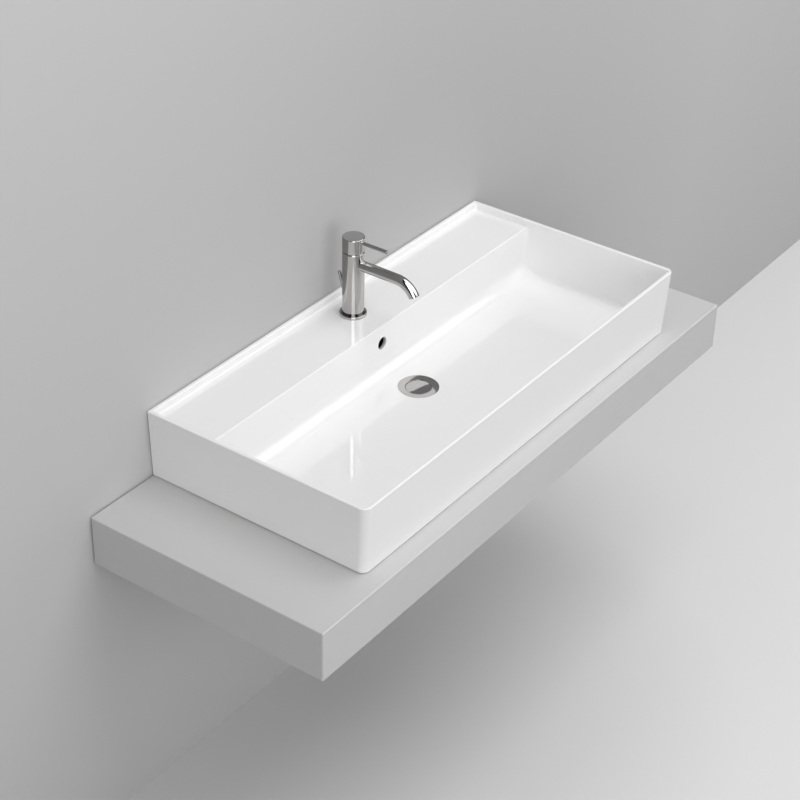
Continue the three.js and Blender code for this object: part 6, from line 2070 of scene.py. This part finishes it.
@dataclass
class Studio:
    """A wall and floor with painted shade round the object and painted reflections, soft lamps, and the
    camera.

    The lamps and a world that is brighter to the left give the light. Reflections see neither, but a
    dark room with a tall narrow strip and soft glows, so that polished metal gets its contrast.
    """

    floor_z: float = -0.653
    wall_y: float = 0.001
    stage_half: float = 6.0
    stage_top: float = 5.0
    view: View = View()
    ambient: float = 0.33
    from_left: float = 0.62
    dark: float = 0.006
    strip_light: float = 6.5
    strip_azimuth: float = -141.0
    strip_width: Span = (13.0, 19.0)
    strip_from: float = 0.12
    strip_to: float = 0.9
    strip_fade: Span = (0.1, 0.06)
    surroundings: bpy.types.Collection | None = None
    glows: tuple[Glow, ...] = (Glow(-56.0, 50.0, 28.0, 40.0, 2.7), Glow(-60.0, 4.0, 30.0, 55.0, 0.3))

    def build(self) -> None:
        """Build the surroundings."""
        self._backdrop()
        self._world()
        self._lamps()
        self._camera()

    def _plane(self, name: str, corners: Sequence[Point], material: bpy.types.Material) -> None:
        """A stage plane.

        Args:
            name: Its name.
            corners: Its corners in metres, counter-clockwise seen from its front.
            material: Its material.
        """
        mesh = bpy.data.meshes.new(name)
        mesh.from_pydata(corners, [], [(0, 1, 2, 3)])
        plane = bpy.data.objects.new(name, mesh)
        bpy.context.scene.collection.objects.link(plane)
        mesh.materials.append(material)
        plane.visible_shadow = False

    def _paint(self, paint: Paint) -> bpy.types.Material:
        """A matt paint with painted shade and painted reflections, that can be seen through from behind.

        Args:
            paint: The paint.

        Returns:
            The material.
        """
        material = bpy.data.materials.new(paint.name)
        material.use_nodes = True
        tree = material.node_tree
        tree.nodes.clear()
        graph = Graph(tree)
        path = graph.node("LightPath").outputs
        glossy = graph.calc("MAXIMUM", path["Is Glossy Ray"], path["Is Transmission Ray"])
        seen = graph.calc("MAXIMUM", path["Is Camera Ray"], glossy)
        geometry = graph.node("NewGeometry").outputs
        place = geometry["Position"]
        # painted reflection: greys by height that only reflections see
        ramp = graph.node("ValToRGB", {0: graph.node("SeparateXYZ", {0: place}).outputs["Z"]})
        self._fill(ramp.color_ramp, paint.mirrored)
        back = ramp.outputs["Color"]
        # a brighter painted reflection in one spot
        if paint.patch is not None:
            back = graph.mix(self._spot(graph, place, paint.patch), back, solid(paint.patch_grey))
        # painted shade: the camera sees a darker grey near the spot round the object
        front = graph.mix(self._spot(graph, place, paint.middle), solid(paint.far), solid(paint.near))
        grey = graph.mix(seen, solid(paint.bounce), graph.mix(glossy, front, back))
        coat = graph.node("BsdfPrincipled", {"Base Color": grey, "Roughness": 0.9, "IOR": 1.2})
        clear = graph.node("BsdfTransparent")
        mix = graph.node("MixShader",
                         {0: geometry["Backfacing"], 1: coat.outputs[0], 2: clear.outputs[0]})
        tree.links.new(mix.outputs[0], graph.node("OutputMaterial").inputs["Surface"])
        return material

    def _spot(self, graph: Graph, place: Socket, spot: Spot) -> Socket:
        """A mask that fades from 1 in a spot to 0 outside it.

        Args:
            graph: Where to make it.
            place: The place looked at.
            spot: The spot.

        Returns:
            The mask.
        """
        away = graph.node("VectorMath", {0: place, 1: spot.middle}, operation="DISTANCE")
        return graph.span(away.outputs["Value"], spot.gone, spot.full)

    def _fill(self, ramp: bpy.types.ColorRamp, greys: Sequence[tuple[float, float]]) -> None:
        """Put greys on a ramp.

        Args:
            ramp: The ramp.
            greys: Places on it, each with its grey.
        """
        while len(ramp.elements) < len(greys):
            ramp.elements.new(1.0)
        for element, (place, grey) in zip(ramp.elements, greys):
            element.position = place
            element.color = solid(grey)

    def _backdrop(self) -> None:
        """The wall behind and the floor below, which the lamps for the object alone pass over."""
        floor, wall, half, top = self.floor_z, self.wall_y, self.stage_half, self.stage_top
        self._plane("stage_wall", [(-half, wall, floor), (half, wall, floor), (half, wall, top),
                                   (-half, wall, top)], self._paint(WALL_PAINT))
        self._plane("stage_floor", [(-half, -half, floor), (half, -half, floor), (half, wall, floor),
                                    (-half, wall, floor)], self._paint(FLOOR_PAINT))
        self.surroundings = bpy.data.collections.new("surroundings")
        for name in ("stage_wall", "stage_floor"):
            self.surroundings.objects.link(bpy.data.objects[name])
        for member in self.surroundings.collection_objects:
            member.light_linking.link_state = "EXCLUDE"

    def _glow(self, graph: Graph, place: Socket, glow: Glow) -> Socket:
        """The brightness of a glow.

        Args:
            graph: Where to make it.
            place: The direction looked at.
            glow: The glow.

        Returns:
            The brightness.
        """
        nearness = graph.node("VectorMath", {0: place, 1: glow.direction()}, operation="DOT_PRODUCT")
        return graph.span(nearness.outputs["Value"], math.cos(math.radians(glow.gone)),
                          math.cos(math.radians(glow.full)), end=glow.strength,
                          interpolation_type="SMOOTHSTEP")

    def _strip(self, graph: Graph, place: Socket) -> Socket:
        """The brightness of the tall strip.

        Args:
            graph: Where to make it.
            place: The direction looked at.

        Returns:
            The brightness.
        """
        full, gone = self.strip_width
        parts = graph.node("SeparateXYZ", {0: place}).outputs
        azimuth = graph.calc("ARCTAN2", parts["Y"], parts["X"])
        spread = graph.calc("ABSOLUTE",
                            graph.calc("SUBTRACT", azimuth, math.radians(self.strip_azimuth)))
        across = graph.span(spread, math.radians(gone), math.radians(full),
                            interpolation_type="SMOOTHSTEP")
        above = graph.span(parts["Z"], self.strip_from - self.strip_fade[0], self.strip_from)
        below = graph.span(parts["Z"], self.strip_to + self.strip_fade[1], self.strip_to,
                           end=self.strip_light)
        return graph.calc("MULTIPLY", across, graph.calc("MULTIPLY", above, below))

    def _world(self) -> None:
        """The world's light, stronger from the left, and the dark room that reflections see."""
        world = bpy.data.worlds.new("room")
        bpy.context.scene.world = world
        world.use_nodes = True
        world.cycles.sampling_method = "NONE"
        tree = world.node_tree
        tree.nodes.clear()
        graph = Graph(tree)
        place = graph.node("TexCoord").outputs["Generated"]
        light = self._strip(graph, place)
        for glow in self.glows:
            light = graph.calc("ADD", light, self._glow(graph, place, glow))
        room = graph.calc("ADD", light, self.dark)
        side = graph.node("SeparateXYZ", {0: place}).outputs["X"]
        leftward = graph.calc("MAXIMUM", graph.calc("MULTIPLY", side, -self.from_left), 0.0)
        even = graph.calc("ADD", leftward, self.ambient)
        path = graph.node("LightPath")
        strength = graph.node("Mix", {0: path.outputs["Is Glossy Ray"], 2: even, 3: room},
                              data_type="FLOAT")
        shader = graph.node("Background", {"Color": solid(1.0), "Strength": strength.outputs[0]})
        tree.links.new(shader.outputs[0], graph.node("OutputWorld").inputs["Surface"])

    def _lamps(self) -> None:
        """The lamps, hidden from reflections; one for the object alone leaves the wall and floor unlit."""
        for lamp in LAMPS:
            light = bpy.data.lights.new(lamp.name, "AREA")
            light.shape = "RECTANGLE"
            light.size, light.size_y = lamp.size
            light.energy = lamp.power
            holder = bpy.data.objects.new(lamp.name, light)
            bpy.context.scene.collection.objects.link(holder)
            holder.location = lamp.place
            aim = Vector(lamp.place) - Vector(lamp.target)
            holder.rotation_euler = aim.to_track_quat("Z", "Y").to_euler()
            holder.visible_glossy = False
            if lamp.only_object:
                holder.light_linking.receiver_collection = self.surroundings

    def _camera(self) -> None:
        """The camera."""
        yaw, pitch, roll = self.view.yaw, self.view.pitch, self.view.roll
        forward = Vector((math.sin(yaw) * math.cos(pitch), math.cos(yaw) * math.cos(pitch),
                          -math.sin(pitch)))
        level = Vector((math.cos(yaw), -math.sin(yaw), 0))
        rise = level.cross(forward)
        right = level * math.cos(roll) + rise * math.sin(roll)
        up = rise * math.cos(roll) - level * math.sin(roll)
        data = bpy.data.cameras.new("camera")
        data.lens = self.view.lens
        data.sensor_width = self.view.sensor
        data.clip_end = self.view.reach
        camera = bpy.data.objects.new("camera", data)
        bpy.context.scene.collection.objects.link(camera)
        turn = Matrix((right, up, -forward)).transposed().to_4x4()
        camera.matrix_world = Matrix.Translation(self.view.place) @ turn
        bpy.context.scene.camera = camera
        bpy.context.scene.view_settings.view_transform = "Standard"


def main() -> None:
    """Build the pieces, dress the rest and light it."""
    logging.basicConfig(level=logging.INFO, format="%(message)s")
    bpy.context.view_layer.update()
    shop = Workshop()
    low, high = cad_box("tap_body")
    lean = math.radians(LIFT_LEAN)
    foot = Vector((0, (low.y + high.y) / 2 + LIFT_BEHIND, low.z))
    lift = Line(foot, Vector((0, math.sin(lean), math.cos(lean))))
    for part in (Shelf(shop), Basin(shop), Tap(shop, lift), Linkage(shop, lift), Waste(shop),
                 Trap(shop)):
        LOG.info("building %s", type(part).__name__)
        part.build()
    shop.dress_nodes()
    Studio().build()


if __name__ == "__main__":
    main()
